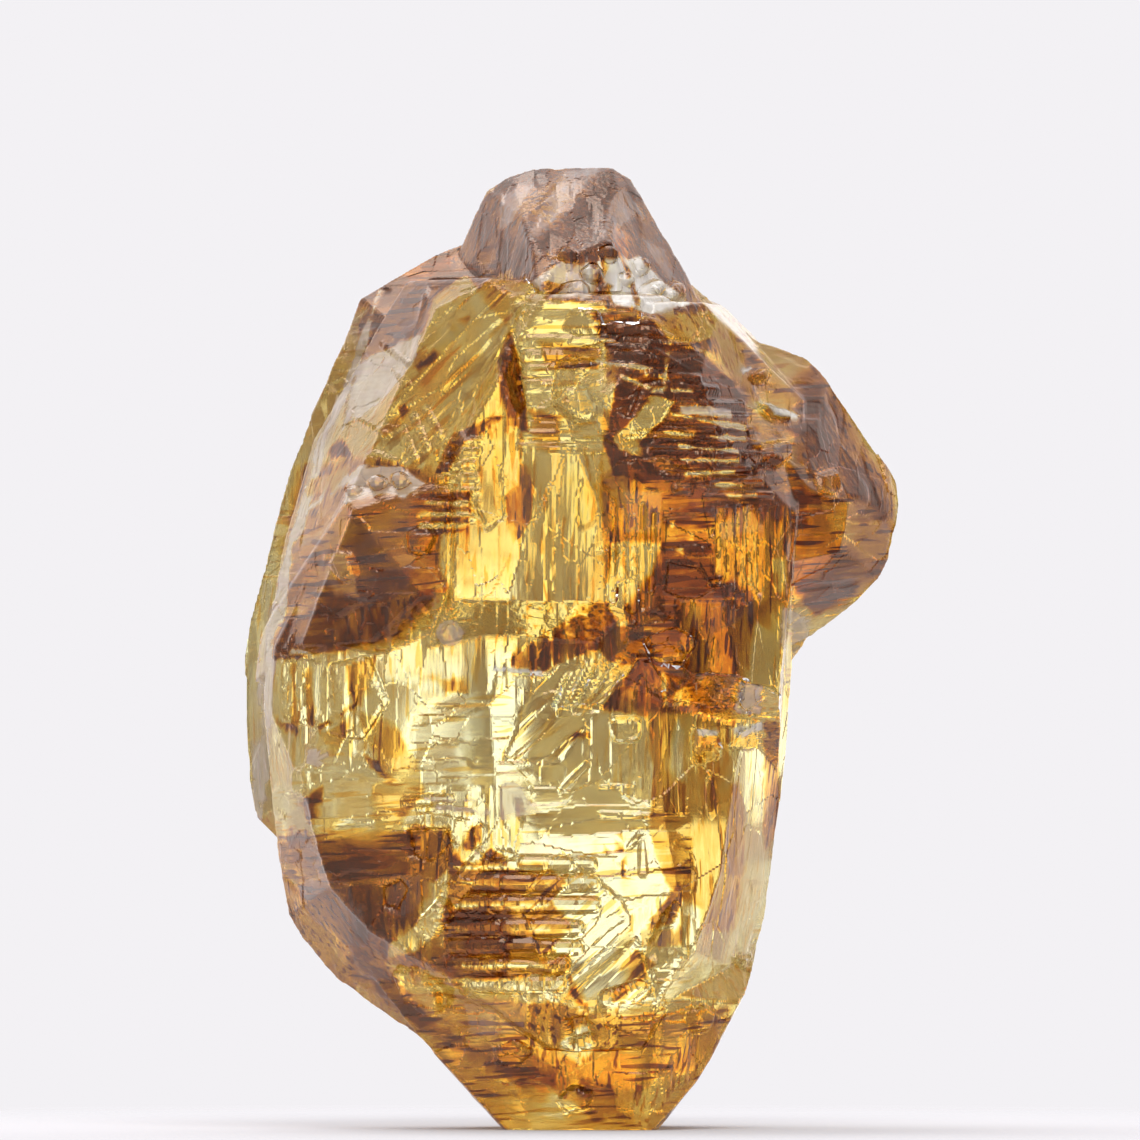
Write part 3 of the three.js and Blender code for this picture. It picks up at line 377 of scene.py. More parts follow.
# The patches named for mauve, lilac, silver, white and rib, and the haze along the rims, are painted sheen,
# highlights and reflections.
PATCHES = [
    ("broad golden", [
        (-1.33, 7.86), (0.26, 7.86), (0.64, 7.57), (0.36, 6.08), (0.26, 4.58), (-0.96, 4.2),
        (-1.33, 5.33), (-1.24, 6.08), (-2.14, 6.38), (-1.82, 6.73), (-1.48, 7.16),
    ]),
    ("broad straw", [
        (-2.81, 4.48), (-1.61, 4.58), (-0.96, 4.48), (0.26, 4.58), (1.57, 3.87), (1.76, 3.45),
        (1.57, 1.11), (-0.11, 1.11), (-1.14, 2.61), (-1.8, 2.7), (-2.55, 2.7), (-2.83, 3.45),
    ]),
    ("broad brown", [
        (-2.55, 6.17), (-2.08, 6.28), (-1.33, 6.19), (-1.12, 5.89), (-1.1, 5.33), (-1.33, 4.86),
        (-1.61, 4.58), (-2.55, 4.46), (-2.81, 4.48), (-2.64, 5.33),
    ]),
    ("broad amber", [
        (-2.69, 5.33), (-2.55, 5.98), (-2.13, 5.89), (-2.13, 5.47), (-2.46, 4.76), (-2.78, 4.58),
    ]),
    ("broad brown", [
        (0.15, 7.64), (0.73, 7.59), (1.53, 7.01), (2.14, 6.54), (2.25, 5.7), (1.95, 4.95), (1.62, 4.58),
        (1.53, 3.87), (0.26, 3.9), (0.45, 4.39), (0.17, 4.43), (-0.53, 4.43), (0.26, 4.97), (0.26, 6.08),
        (0.45, 6.17), (0.3, 6.45), (0.4, 6.92),
    ]),
    ("broad amber", [(1.53, 7.39), (2.14, 6.83), (2.51, 6.36), (2.14, 6.17), (1.67, 6.54)]),
    ("broad amber", [(0.24, 6.08), (0.86, 6.03), (0.86, 4.95), (0.54, 4.69), (0.32, 4.95)]),
    ("broad amber", [(1.31, 5.7), (2.04, 5.7), (2.04, 4.95), (1.69, 4.89), (1.48, 5.1)]),
    ("broad brown", [
        (-2.91, 2.7), (-1.61, 2.79), (-0.96, 2.84), (-0.58, 2.61), (-1.14, 2.42), (-1.24, 1.86),
        (-0.86, 0.82), (-1.43, 0.73), (-2.17, 1.29), (-2.74, 1.95),
    ]),
    ("broad orange", [
        (-2.13, 1.76), (-0.86, 1.2), (-0.11, 1.11), (0.73, 1.11), (1.53, 1.2), (1.2, 0.64),
        (0.64, -0.02), (-0.49, 0.07), (-1.24, 0.64), (-1.8, 1.11),
    ]),
    ("broad orange", [
        (-2.91, 2.89), (-2.69, 2.61), (-2.44, 2.09), (-2.01, 1.48), (-1.43, 0.87), (-0.67, 0.45),
        (-0.11, 0.22), (-0.11, -0.11), (-0.86, -0.11), (-1.61, 0.54), (-2.36, 1.29), (-2.91, 2.14),
    ]),
    ("broad russet", [(2.06, 7.01), (2.32, 7.11), (3, 5.89), (2.96, 5.23), (2.42, 4.84), (2.04, 5.14)]),
    ("broad russet", [
        (-1.31, 7.84), (-1.24, 8.12), (-0.67, 8.44), (-0.44, 8.23), (-0.47, 7.93), (-0.96, 7.88),
    ]),
    ("broad russet", [
        (-2.08, 7.65), (-1.93, 7.84), (-1.43, 8.12), (-1, 8.32), (-0.75, 8.49), (-0.63, 8.36),
        (-0.67, 8.12), (-0.96, 8.04), (-1.33, 7.91), (-1.61, 7.84), (-1.88, 7.74),
    ]),
    ("yellow", [(-1.1, 6.45), (0.26, 6.45), (0.3, 4.95), (-0.11, 4.58), (-0.96, 4.48), (-1.24, 5.33)]),
    ("pale", [
        (-1.1, 4.01), (0.26, 4.01), (0.73, 3.82), (0.73, 1.57), (-0.11, 1.2), (-0.96, 1.57),
        (-1.14, 2.79),
    ]),
    ("golden", [(0.99, 3.88), (1.53, 3.88), (1.62, 2.61), (1.53, 1.86), (1.2, 1.86), (1.11, 2.61)]),
    ("umber", [
        (-1.1, 7.84), (-1.03, 8.32), (-0.88, 8.66), (-0.65, 8.91), (-0.24, 9.04), (0.51, 9),
        (0.82, 8.57), (1.25, 7.65), (0.68, 7.59), (-0.19, 7.76), (-0.41, 7.91), (-0.49, 8.12),
        (-0.67, 8.18), (-0.82, 7.99),
    ]),
    ("painted lilac sheen", [(-0.06, 8.98), (0.28, 9), (-0.09, 8.57), (-0.3, 8.36), (-0.43, 8.32), (-0.28, 8.65)]),
    ("painted lilac sheen", [(-0.67, 8.7), (-0.49, 8.85), (-0.36, 8.85), (-0.58, 8.47), (-0.67, 8.4)]),
    ("dark", [
        (-0.32, 8.29), (0.3, 8.89), (0.45, 8.89), (0.36, 8.64), (0.09, 8.43), (-0.13, 8.22),
        (-0.36, 8.21),
    ]),
    ("painted lilac sheen", [(0.39, 8.74), (0.49, 8.83), (0.69, 8.53), (0.38, 8.27), (0.26, 8.34)]),
    ("brown", [(0.62, 8.57), (0.73, 8.33), (0.45, 8.42)]),
    ("painted lilac sheen", [(0.65, 8.33), (0.87, 8.22), (1.08, 7.73), (0.97, 7.82)]),
    ("painted mauve sheen", [
        (-0.27, 8.17), (0.16, 8.25), (0.51, 8.31), (0.76, 8.11), (1.11, 7.71), (0.7, 7.6), (-0.19, 7.76),
        (-0.41, 7.93), (-0.44, 8.11),
    ]),
    ("painted silver highlight", [(-0.41, 7.91), (-0.11, 8.12), (0.26, 8.04), (0.17, 7.76), (-0.19, 7.76)]),
    ("painted white highlight", [
        (0.22, 8.12), (0.64, 8.16), (0.78, 8), (1.11, 7.71), (0.73, 7.62), (0.38, 7.71), (0.3, 7.9),
    ]),
    ("brown", [(0.26, 8.12), (0.29, 8.12), (0.38, 7.72), (0.36, 7.72)]),
    ("brown", [(0.48, 8.12), (0.51, 8.12), (0.63, 7.69), (0.6, 7.69)]),
    ("brown", [(-0.27, 7.93), (-0.01, 7.88), (-0.24, 7.76)]),
    ("painted white highlight", [(0.11, 8.1), (0.17, 8.1), (0.17, 7.78), (0.14, 7.78)]),
    ("russet", [
        (-1.27, 7.82), (-1.11, 8.03), (-0.65, 8.33), (-0.44, 8.22), (-0.47, 7.99), (-0.84, 7.9),
        (-0.99, 8.03), (-1.22, 7.82),
    ]),
    ("golden", [
        (-0.84, 7.9), (-0.59, 8.03), (-0.44, 7.82), (-0.56, 7.73), (-0.59, 7.57), (-0.67, 7.57),
        (-0.82, 7.73),
    ]),
    ("painted mauve sheen", [(-1.85, 7.79), (-1.36, 7.96), (-1.27, 7.82), (-1.39, 7.44), (-2.02, 7.16), (-1.97, 7.57)]),
    ("frost_and_sheen", [(-2.02, 7.16), (-1.39, 7.44), (-1.48, 7.11), (-1.82, 6.76), (-2.17, 6.5)]),
    ("frost_and_sheen", [
        (-1.8, 7.86), (-2.08, 7.16), (-2.42, 6.31), (-2.7, 5.33), (-2.96, 4.39), (-3.02, 3.26),
        (-3.06, 2.79), (-2.92, 2.79), (-2.83, 3.36), (-2.77, 4.39), (-2.57, 5.33), (-2.31, 6.31),
        (-1.97, 7.16),
    ]),
    ("yellow", [
        (-1.22, 7.82), (-0.99, 8), (-0.82, 7.73), (-0.59, 7.47), (-0.76, 7.13), (-0.87, 6.9),
        (-1.11, 6.65), (-1.27, 6.41), (-1.39, 6.16), (-2.14, 6.38), (-2.11, 6.59), (-1.82, 6.73),
        (-1.48, 7.16), (-1.33, 7.57),
    ]),
    ("brown", [(-1.39, 6.98), (-1.27, 7.09), (-1.11, 7.22), (-1.18, 7.09), (-1.31, 6.97)]),
    ("brown", [(-1.46, 7.12), (-1.33, 7.22), (-1.2, 7.29), (-1.27, 7.18), (-1.41, 7.09)]),
    ("brown", [(-1.61, 6.73), (-1.5, 6.84), (-1.44, 6.86), (-1.52, 6.73), (-1.59, 6.66)]),
    ("brown", [(-1.12, 7.48), (-0.96, 7.61), (-0.92, 7.59), (-1.07, 7.44)]),
    ("amber", [(-1.8, 6.54), (-1.63, 6.64), (-1.59, 6.6), (-1.76, 6.45)]),
    ("straw", [(-1.27, 7.48), (-1.14, 7.71), (-1.07, 7.71), (-1.2, 7.42)]),
    ("straw", [(-1.57, 6.79), (-1.33, 7.09), (-1.29, 7.05), (-1.52, 6.73)]),
    ("straw", [(-1.24, 6.64), (-0.96, 7.01), (-0.9, 6.97), (-1.16, 6.6)]),
    ("pale", [(-0.99, 7.96), (-0.82, 7.73), (-0.59, 7.47), (-0.79, 7.16), (-0.84, 7.3)]),
    ("dark", [(-2.28, 6.36), (-2.17, 6.47), (-2.05, 6.3), (-2.25, 6.27)]),
    ("russet", [
        (-0.59, 7.47), (-0.47, 7.33), (-0.47, 6.98), (-0.38, 6.59), (-0.41, 6.5), (-0.59, 6.62),
        (-0.67, 6.87), (-0.71, 7.16),
    ]),
    ("russet", [(-1.27, 6.13), (-1.11, 6.5), (-0.73, 6.67), (-0.65, 6.65), (-0.99, 6.41), (-1.16, 6.16)]),
    ("straw", [
        (-0.53, 7.73), (0.33, 7.73), (0.26, 6.08), (-0.3, 6.09), (-0.41, 6.45), (-0.45, 7.01),
        (-0.56, 7.39),
    ]),
    ("orange", [(-0.3, 7.39), (0.26, 7.29), (0.24, 7.09), (-0.25, 7.14)]),
    ("orange", [(-0.39, 6.73), (-0.11, 6.64), (-0.15, 6.31), (-0.34, 6.36)]),
    ("pale", [(-0.1, 6.87), (0.05, 6.93), (0.48, 6.98), (0.7, 6.76), (0.56, 6.67), (0.05, 6.79)]),
    ("painted mauve sheen", [
        (-0.59, 5.59), (-0.62, 5.92), (-0.48, 6.02), (-0.48, 6.22), (-0.39, 6.17), (-0.38, 5.7),
        (-0.49, 5.51),
    ]),
    ("dark", [
        (0.15, 7.64), (0.73, 7.57), (0.92, 7.36), (1.22, 7.23), (1.48, 6.99), (1.61, 6.83), (1.63, 6.56),
        (1.72, 6.13), (1.57, 6.13), (1, 6.22), (0.9, 6.39), (0.7, 6.26), (0.4, 6.09), (0.3, 6.39),
        (0.45, 7.16), (0.3, 7.33),
    ]),
    ("painted rib highlight", [(0.17, 7.55), (0.32, 7.53), (0.32, 7.5), (0.17, 7.52)]),
    ("painted rib highlight", [(0.17, 7.41), (0.48, 7.35), (0.48, 7.32), (0.17, 7.38)]),
    ("painted rib highlight", [(0.75, 7.38), (0.92, 7.36), (0.92, 7.33), (0.75, 7.35)]),
    ("painted rib highlight", [(0.23, 7.18), (0.75, 7.12), (0.75, 7.09), (0.23, 7.15)]),
    ("painted rib highlight", [(0.68, 7.06), (0.85, 7.05), (0.85, 7.02), (0.68, 7.03)]),
    ("painted rib highlight", [(0.45, 7.05), (0.75, 6.92), (0.75, 6.89), (0.45, 7.02)]),
    ("painted rib highlight", [(0.73, 6.92), (1.12, 6.91), (1.12, 6.88), (0.73, 6.89)]),
    ("painted rib highlight", [(0.92, 6.69), (1.61, 6.57), (1.61, 6.54), (0.92, 6.67)]),
    ("painted rib highlight", [(0.85, 6.52), (1.61, 6.46), (1.61, 6.43), (0.85, 6.5)]),
    ("painted rib highlight", [(1, 6.39), (1.55, 6.35), (1.55, 6.32), (1, 6.37)]),
    ("painted rib highlight", [(1, 6.27), (1.55, 6.26), (1.55, 6.23), (1, 6.24)]),
    ("painted rib highlight", [(1.05, 6.14), (1.52, 6.16), (1.52, 6.13), (1.05, 6.11)]),
    ("painted rib highlight", [(1.33, 6.04), (1.63, 6.03), (1.63, 6), (1.33, 6.01)]),
    ("painted rib highlight", [(1.33, 5.92), (1.72, 5.94), (1.72, 5.92), (1.33, 5.9)]),
    ("painted rib highlight", [(0.88, 7.26), (0.91, 7.26), (0.87, 6.96), (0.84, 6.96)]),
    ("painted silver highlight", [(1, 6.76), (1.48, 6.73), (1.48, 6.65), (1, 6.68)]),
    ("golden", [
        (0.75, 7.57), (1.27, 7.62), (1.52, 7.42), (1.61, 7.21), (1.48, 7.01), (1.28, 7.23), (1.4, 7.26),
        (1.27, 7.41), (0.92, 7.34),
    ]),
    ("painted mauve sheen", [(1.1, 7.32), (1.31, 7.42), (1.42, 7.27), (1.27, 7.27)]),
    ("straw", [
        (0.73, 6.84), (0.94, 6.79), (0.87, 6.65), (0.62, 6.41), (0.65, 6.3), (0.45, 6.3), (0.38, 6.47),
        (0.59, 6.67),
    ]),
    ("dark", [(0.3, 6.41), (0.56, 6.3), (0.91, 6.13), (0.91, 6.08), (0.53, 6.08), (0.36, 6.22)]),
    ("painted white highlight", [(1.52, 7.08), (1.68, 7.13), (1.68, 7.11), (1.58, 7.05)]),
    ("painted white highlight", [(1.78, 6.81), (2.13, 6.68), (2.08, 6.65), (1.88, 6.67)]),
    ("straw", [(1.62, 6.76), (1.76, 6.83), (1.83, 6.74), (1.78, 6.69)]),
    ("olive", [(1.76, 6.65), (2.06, 6.5), (2.08, 6.43), (1.83, 6.31), (1.76, 6.35), (1.73, 6.52)]),
    ("painted mauve sheen", [
        (1.05, 6.01), (1.31, 6.03), (1.48, 5.88), (1.57, 5.79), (1.35, 5.68), (1.1, 5.79), (1.05, 5.92),
    ]),
    ("painted mauve sheen", [(1.73, 5.92), (2.04, 5.92), (2.06, 5.7), (1.76, 5.7)]),
    ("olive", [(0.47, 5.96), (0.83, 5.96), (0.83, 5.58), (0.47, 5.58)]),
    ("amber", [(0.36, 5.58), (0.83, 5.58), (0.83, 5.49), (0.36, 5.49)]),
    ("straw", [(0.36, 5.49), (0.83, 5.49), (0.73, 5.18), (0.51, 4.72), (0.38, 4.72), (0.32, 5.04)]),
    ("olive", [(1.37, 5.66), (1.65, 5.81), (1.73, 5.71), (1.8, 5.59), (1.39, 5.51)]),
    ("orange", [
        (1.37, 5.51), (1.82, 5.57), (1.87, 5.43), (1.83, 4.96), (1.73, 4.91), (1.68, 5.06), (1.46, 5.13),
        (1.33, 5.21),
    ]),
    ("yellow", [(1.87, 5.34), (2, 5.33), (2, 5), (1.88, 5.01)]),
    ("brown", [(0.83, 5.76), (1.27, 5.76), (1.27, 5.28), (0.83, 5.28)]),
    ("yellow", [(0.9, 5.7), (0.96, 5.7), (0.96, 5.61), (0.9, 5.61)]),
    ("yellow", [(1.09, 5.62), (1.14, 5.62), (1.14, 5.49), (1.09, 5.49)]),
    ("yellow", [(0.97, 5.46), (1.05, 5.46), (1.05, 5.36), (0.97, 5.36)]),
    ("brown", [
        (0.62, 5.04), (0.79, 5.26), (1.1, 5.28), (1.4, 5.15), (1.31, 5.04), (1.27, 4.87), (1.18, 4.59),
        (0.85, 4.61), (0.83, 4.78), (0.57, 4.65), (0.49, 4.87),
    ]),
    ("painted mauve sheen", [
        (1.31, 5.06), (1.48, 5.13), (1.68, 5.02), (1.72, 4.87), (1.52, 4.74), (1.27, 4.59), (1.27, 4.87),
    ]),
    ("yellow", [(1.7, 4.7), (1.88, 4.78), (1.91, 4.61), (1.78, 4.5)]),
    ("russet", [(0.85, 4.65), (1.1, 4.68), (1.22, 4.61), (1.18, 4.55), (0.92, 4.57)]),
    ("brown", [
        (0.24, 3.94), (0.47, 4.17), (0.62, 4.35), (0.72, 4.44), (0.85, 4.41), (1.29, 4.29), (1.51, 4.23),
        (1.48, 3.92), (1.03, 3.9), (0.82, 3.88), (0.44, 3.9),
    ]),
    ("dark", [(0.24, 3.94), (0.47, 4.17), (0.62, 4.35), (0.66, 4.31), (0.51, 4.11), (0.44, 3.9)]),
    ("golden", [(0.94, 4.08), (1.08, 4.17), (1.1, 3.97), (0.94, 3.96)]),
    ("yellow", [(0.83, 4.29), (0.86, 4.29), (0.9, 3.97), (0.86, 3.97)]),
    ("russet", [(-0.56, 4.39), (-0.51, 4.48), (-0.46, 4.46), (-0.45, 4.27), (-0.53, 4.26)]),
    ("russet", [(-0.44, 4.31), (-0.42, 4.52), (-0.34, 4.58), (-0.33, 4.31), (-0.38, 4.24)]),
    ("russet", [(-0.31, 4.37), (-0.29, 4.61), (-0.22, 4.65), (-0.2, 4.33), (-0.26, 4.27)]),
    ("russet", [(-0.19, 4.29), (-0.18, 4.69), (-0.06, 4.76), (-0.06, 4.39), (-0.11, 4.22)]),
    ("russet", [(-0.04, 4.37), (-0.03, 4.78), (0.11, 4.86), (0.13, 4.35), (0.05, 4.31)]),
    ("russet", [(0.15, 4.26), (0.16, 4.89), (0.26, 4.94), (0.29, 4.37), (0.22, 4.2)]),
    ("russet", [(0.31, 4.39), (0.32, 4.91), (0.4, 4.74), (0.41, 4.31), (0.36, 4.27)]),
    ("brown", [(2.13, 6.99), (2.25, 7.14), (2.36, 6.96), (2.43, 6.78), (2.3, 6.83)]),
    ("brown", [
        (2.06, 6.64), (2.28, 6.45), (2.49, 6.17), (2.75, 5.84), (2.92, 5.61), (2.9, 5.21), (2.66, 5.11),
        (2.43, 5.28), (2.25, 5.51), (2.14, 6.08),
    ]),
    ("russet", [(2.6, 6.13), (2.81, 6.02), (2.9, 5.92), (2.7, 5.93)]),
    ("amber", [(2.25, 6.08), (2.96, 5.64), (2.92, 5.33), (2.7, 5.33), (2.42, 5.61)]),
    ("painted mauve sheen", [
        (2.04, 5.39), (2.32, 5.41), (2.43, 5.26), (2.66, 5.13), (2.58, 5), (2.28, 4.78), (2.19, 4.87),
        (2.04, 5.17),
    ]),
    ("frost_and_sheen", [
        (1.95, 4.91), (2.25, 4.78), (2.21, 4.58), (2.14, 4.2), (2.09, 3.45), (2.02, 3.07), (1.97, 3.07),
        (2.02, 4.01), (1.95, 4.58),
    ]),
    ("painted silver highlight", [
        (-2, 6.22), (-1.6, 6.19), (-1.37, 6.04), (-1.57, 5.89), (-1.73, 5.95), (-2.03, 5.89),
        (-2.17, 5.82),
    ]),
    ("frost_and_sheen", [(-2.6, 5.65), (-1.95, 6.17), (-2.03, 6.17), (-2.6, 5.75)]),
    ("golden", [(-2.47, 6.07), (-2.03, 6.23), (-2.25, 5.95), (-2.48, 5.93)]),
    ("amber", [
        (-2.6, 5.5), (-2.21, 5.85), (-2.12, 5.82), (-2.03, 5.63), (-2, 5.5), (-2.3, 5.42), (-2.36, 5.16),
        (-2.25, 4.99), (-2.66, 4.82), (-2.64, 5.24),
    ]),
    ("umber", [
        (-2.03, 5.48), (-1.73, 5.74), (-1.57, 5.89), (-1.42, 5.92), (-1.43, 5.59), (-1.45, 5.37),
        (-1.52, 5.16), (-1.48, 5.02), (-1.82, 4.94), (-1.9, 4.84), (-2.03, 4.94), (-2.3, 5.07),
        (-2.32, 5.29), (-2.21, 5.4),
    ]),
    ("painted mauve sheen", [
        (-1.97, 5.48), (-1.73, 5.7), (-1.45, 5.77), (-1.43, 5.63), (-1.52, 5.5), (-1.73, 5.29),
        (-1.88, 5.18), (-2, 5.33),
    ]),
    ("olive", [(-2.32, 5.16), (-2.25, 5.4), (-2.12, 5.4), (-2.03, 5.16), (-2, 4.97), (-2.17, 5.02)]),
    ("russet", [(-1.43, 5.95), (-0.96, 5.95), (-0.96, 5.59), (-1.43, 5.59)]),
    ("straw", [(-1.42, 5.87), (-0.97, 5.87), (-0.97, 5.83), (-1.42, 5.83)]),
    ("straw", [(-1.42, 5.77), (-0.97, 5.77), (-0.97, 5.73), (-1.42, 5.73)]),
    ("straw", [(-1.42, 5.66), (-0.97, 5.66), (-0.97, 5.62), (-1.42, 5.62)]),
    ("brown", [
        (-2.77, 4.67), (-2.66, 4.82), (-2.25, 4.82), (-1.73, 4.72), (-1.78, 4.56), (-2.6, 4.39),
        (-2.81, 4.41),
    ]),
    ("frost_and_sheen", [
        (-1.24, 4.72), (-1.13, 4.78), (-1.03, 4.72), (-0.98, 4.64), (-1.03, 4.55), (-1.13, 4.49),
        (-1.24, 4.55), (-1.28, 4.64),
    ]),
    ("painted white highlight", [(-0.74, 4.33), (-0.29, 4.28), (-0.29, 4.25), (-0.74, 4.29)]),
    ("amber", [(-1.27, 4.24), (-0.96, 4.2), (-0.96, 4.08), (-1.24, 4.11)]),
    ("frost_and_sheen", [(-2.62, 4.51), (-2.48, 4.49), (-2.26, 4.36), (-2.45, 4.42), (-2.64, 4.45)]),
    ("straw", [(-2.73, 4.4), (-2.25, 4.36), (-2.29, 3.76), (-2.7, 3.82)]),
    ("amber", [(-2.62, 4.35), (-2.59, 4.35), (-2.57, 3.81), (-2.61, 3.81)]),
    ("amber", [(-2.48, 4.33), (-2.44, 4.33), (-2.42, 3.79), (-2.46, 3.79)]),
    ("umber", [(-2.77, 3.82), (-2.61, 3.78), (-2.56, 3.72), (-2.69, 3.72)]),
    ("painted silver highlight", [(-2.48, 3.59), (-2.28, 3.55), (-2.21, 3.49), (-2.37, 3.38), (-2.49, 3.42)]),
    ("straw", [(-2.73, 3.34), (-1.94, 3.34), (-1.94, 2.92), (-2.55, 2.92)]),
    ("golden", [(-2.36, 3.69), (-2.07, 3.86), (-2.09, 3.69), (-2.24, 3.49)]),
    ("orange", [(-2.11, 4.34), (-1.84, 4.42), (-1.9, 4.06), (-2.02, 3.96), (-2.09, 4.1)]),
    ("golden", [
        (-2.01, 3.93), (-1.67, 3.82), (-1.43, 3.42), (-1.37, 3.17), (-1.6, 2.84), (-1.84, 2.76),
        (-1.88, 3.25), (-1.74, 3.27), (-1.94, 3.69),
    ]),
    ("brown", [(-2.36, 3.78), (-2.01, 3.99), (-2.01, 3.96), (-2.36, 3.73)]),
    ("painted mauve sheen", [(-1.94, 3.54), (-1.67, 3.27), (-1.7, 3.23), (-1.97, 3.51)]),
    ("frost_and_sheen", [(-1.39, 3.12), (-0.89, 3.1), (-0.89, 3.07), (-1.39, 3.08)]),
    ("frost_and_sheen", [(-1.27, 3.04), (-0.77, 2.99), (-0.77, 2.95), (-1.27, 3)]),
    ("brown", [(-2.68, 2.76), (-2.49, 2.78), (-2.41, 2.69), (-2.64, 2.61)]),
    ("brown", [(-2.53, 3.08), (-2.32, 3.23), (-2.31, 3.17), (-2.39, 2.92), (-2.49, 2.89)]),
    ("umber", [
        (-2.58, 2.35), (-2.08, 2.33), (-2.04, 2.12), (-1.88, 1.99), (-2.16, 1.86), (-2.4, 1.93),
        (-2.54, 2.12),
    ]),
    ("brown", [(-1.58, 2.77), (-1.46, 2.85), (-1.2, 2.77), (-1.12, 2.56), (-1.39, 2.47), (-1.49, 2.5)]),
    ("umber", [(-1.03, 2.66), (-0.95, 2.83), (-0.83, 2.87), (-0.85, 2.7), (-0.97, 2.58)]),
    ("umber", [(-0.87, 2.48), (-0.78, 2.63), (-0.61, 2.58), (-0.59, 2.47)]),
    ("umber", [
        (-1.77, 2.16), (-1.58, 2.37), (-1.39, 2.35), (-1.35, 2.28), (-1.46, 2.04), (-1.62, 1.97),
        (-1.77, 2.04),
    ]),
    ("straw", [
        (-0.85, 2.63), (-0.91, 2.41), (-1.2, 2.08), (-1.27, 1.82), (-1.46, 1.66), (-1.72, 1.62),
        (-1.7, 1.74), (-1.46, 1.93), (-1.33, 2.28), (-1.05, 2.54),
    ]),
    ("brown", [(-1.14, 2.51), (-0.47, 2.49), (-0.56, 1.43), (-1.24, 1.43)]),
    ("amber", [
        (-0.51, 2.49), (-0.22, 2.49), (-0.06, 2.32), (-0.21, 2.14), (0, 1.9), (-0.17, 1.72),
        (-0.02, 1.47), (-0.6, 1.43),
    ]),
    ("straw", [(-1.1, 2.47), (-0.09, 2.47), (-0.04, 2.44), (-1.1, 2.45)]),
    ("straw", [(-1.1, 2.32), (-0.23, 2.32), (-0.18, 2.3), (-1.1, 2.31)]),
    ("straw", [(-1.1, 2.11), (-0.22, 2.11), (-0.17, 2.08), (-1.1, 2.09)]),
    ("straw", [(-1.1, 1.89), (-0.22, 1.89), (-0.16, 1.87), (-1.1, 1.88)]),
    ("straw", [(-1.1, 1.73), (-0.22, 1.73), (-0.17, 1.71), (-1.1, 1.72)]),
    ("straw", [(-1.1, 1.56), (-0.1, 1.56), (-0.05, 1.53), (-1.1, 1.54)]),
    ("brown", [(-1.09, 2.42), (-0.49, 2.41), (-0.53, 2.34), (-1.09, 2.34)]),
    ("brown", [(-1.09, 2.27), (-0.58, 2.26), (-0.62, 2.14), (-1.12, 2.14)]),
    ("brown", [
        (-2.19, 1.82), (-1.88, 1.93), (-1.73, 1.82), (-1.73, 1.58), (-1.66, 1.43), (-1.43, 1.16),
        (-1.2, 0.94), (-0.82, 0.79), (-0.85, 0.63), (-1.2, 0.79), (-1.77, 1.2), (-1.88, 1.38),
        (-2.12, 1.62),
    ]),
    ("golden", [
        (-1.72, 1.55), (-1.43, 1.51), (-1.2, 1.47), (-0.98, 1.24), (-1.05, 1.05), (-1.24, 0.99),
        (-1.43, 1.22), (-1.62, 1.38),
    ]),
    ("olive", [(-1.01, 1.24), (-0.43, 1.24), (-0.43, 0.9), (-0.96, 0.9)]),
    ("brown", [(-0.85, 0.79), (-0.39, 0.73), (-0.11, 0.58), (-0.15, 0.4), (-0.49, 0.4), (-0.81, 0.58)]),
    ("yellow", [(-0.4, 0.17), (-0.17, 0.36), (0.07, 0.22), (-0.12, 0.1)]),
    ("straw", [
        (-0.28, 4.27), (-0.03, 4.41), (0.25, 4.49), (0.33, 4.39), (0.58, 4.35), (0.44, 4.15),
        (0.27, 3.94), (0.22, 3.92),
    ]),
    ("frost_and_sheen", [(-0.67, 3.27), (-0.52, 3.25), (-0.34, 3.04), (-0.32, 2.97), (-0.67, 2.88)]),
    ("brown", [(-0.01, 3.72), (0.21, 3.7), (0.21, 3.67), (-0.01, 3.68)]),
    ("brown", [(0.45, 2.74), (0.48, 2.74), (0.49, 2.36), (0.46, 2.36)]),
    ("brown", [(0.31, 2.61), (0.44, 2.79), (0.47, 2.77), (0.34, 2.59)]),
    ("orange", [
        (0.72, 3.88), (0.99, 3.88), (0.94, 3.4), (1.08, 3.01), (1.12, 2.64), (1.18, 2.09), (1.07, 2.14),
        (0.88, 2.29), (0.72, 2.79), (0.74, 3.37),
    ]),
    ("painted silver highlight", [(1.55, 4.19), (1.78, 4.15), (1.78, 3.86), (1.51, 3.9)]),
    ("painted white highlight", [(1.17, 3.74), (1.44, 3.74), (1.78, 3.82), (1.78, 3.74), (1.6, 3.67), (1.19, 3.68)]),
    ("straw", [(1.35, 3.62), (1.72, 3.65), (1.68, 3.23), (1.44, 3.22), (1.35, 3.47)]),
    ("amber", [(1.8, 3.81), (1.94, 3.81), (1.94, 2.79), (1.8, 2.61)]),
    ("umber", [(1.01, 2.34), (1, 2.11), (0.92, 1.93), (0.67, 1.86), (0.8, 2.08)]),
    ("olive", [(0.63, 1.88), (1, 1.88), (1, 1.72), (0.63, 1.72)]),
    ("amber", [(0.58, 1.72), (0.77, 1.56), (0.67, 1.44), (0.48, 1.41)]),
    ("orange", [(0.39, 1.34), (0.52, 1.38), (0.5, 1.24), (0.38, 1.21)]),
    ("yellow", [(0.56, 2.02), (0.71, 2.02), (0.6, 1.85), (0.5, 1.47), (0.39, 1.57), (0.43, 1.88)]),
    ("straw", [(1.15, 1.85), (1.55, 1.85), (1.55, 1.27), (1.15, 1.27)]),
    ("yellow", [(1.18, 1.21), (1.48, 1.21), (1.48, 1.17), (1.18, 1.17)]),
    ("amber", [(0.93, 1), (1.48, 1.09), (1.16, 0.59), (0.77, 0.53), (0.86, 0.83)]),
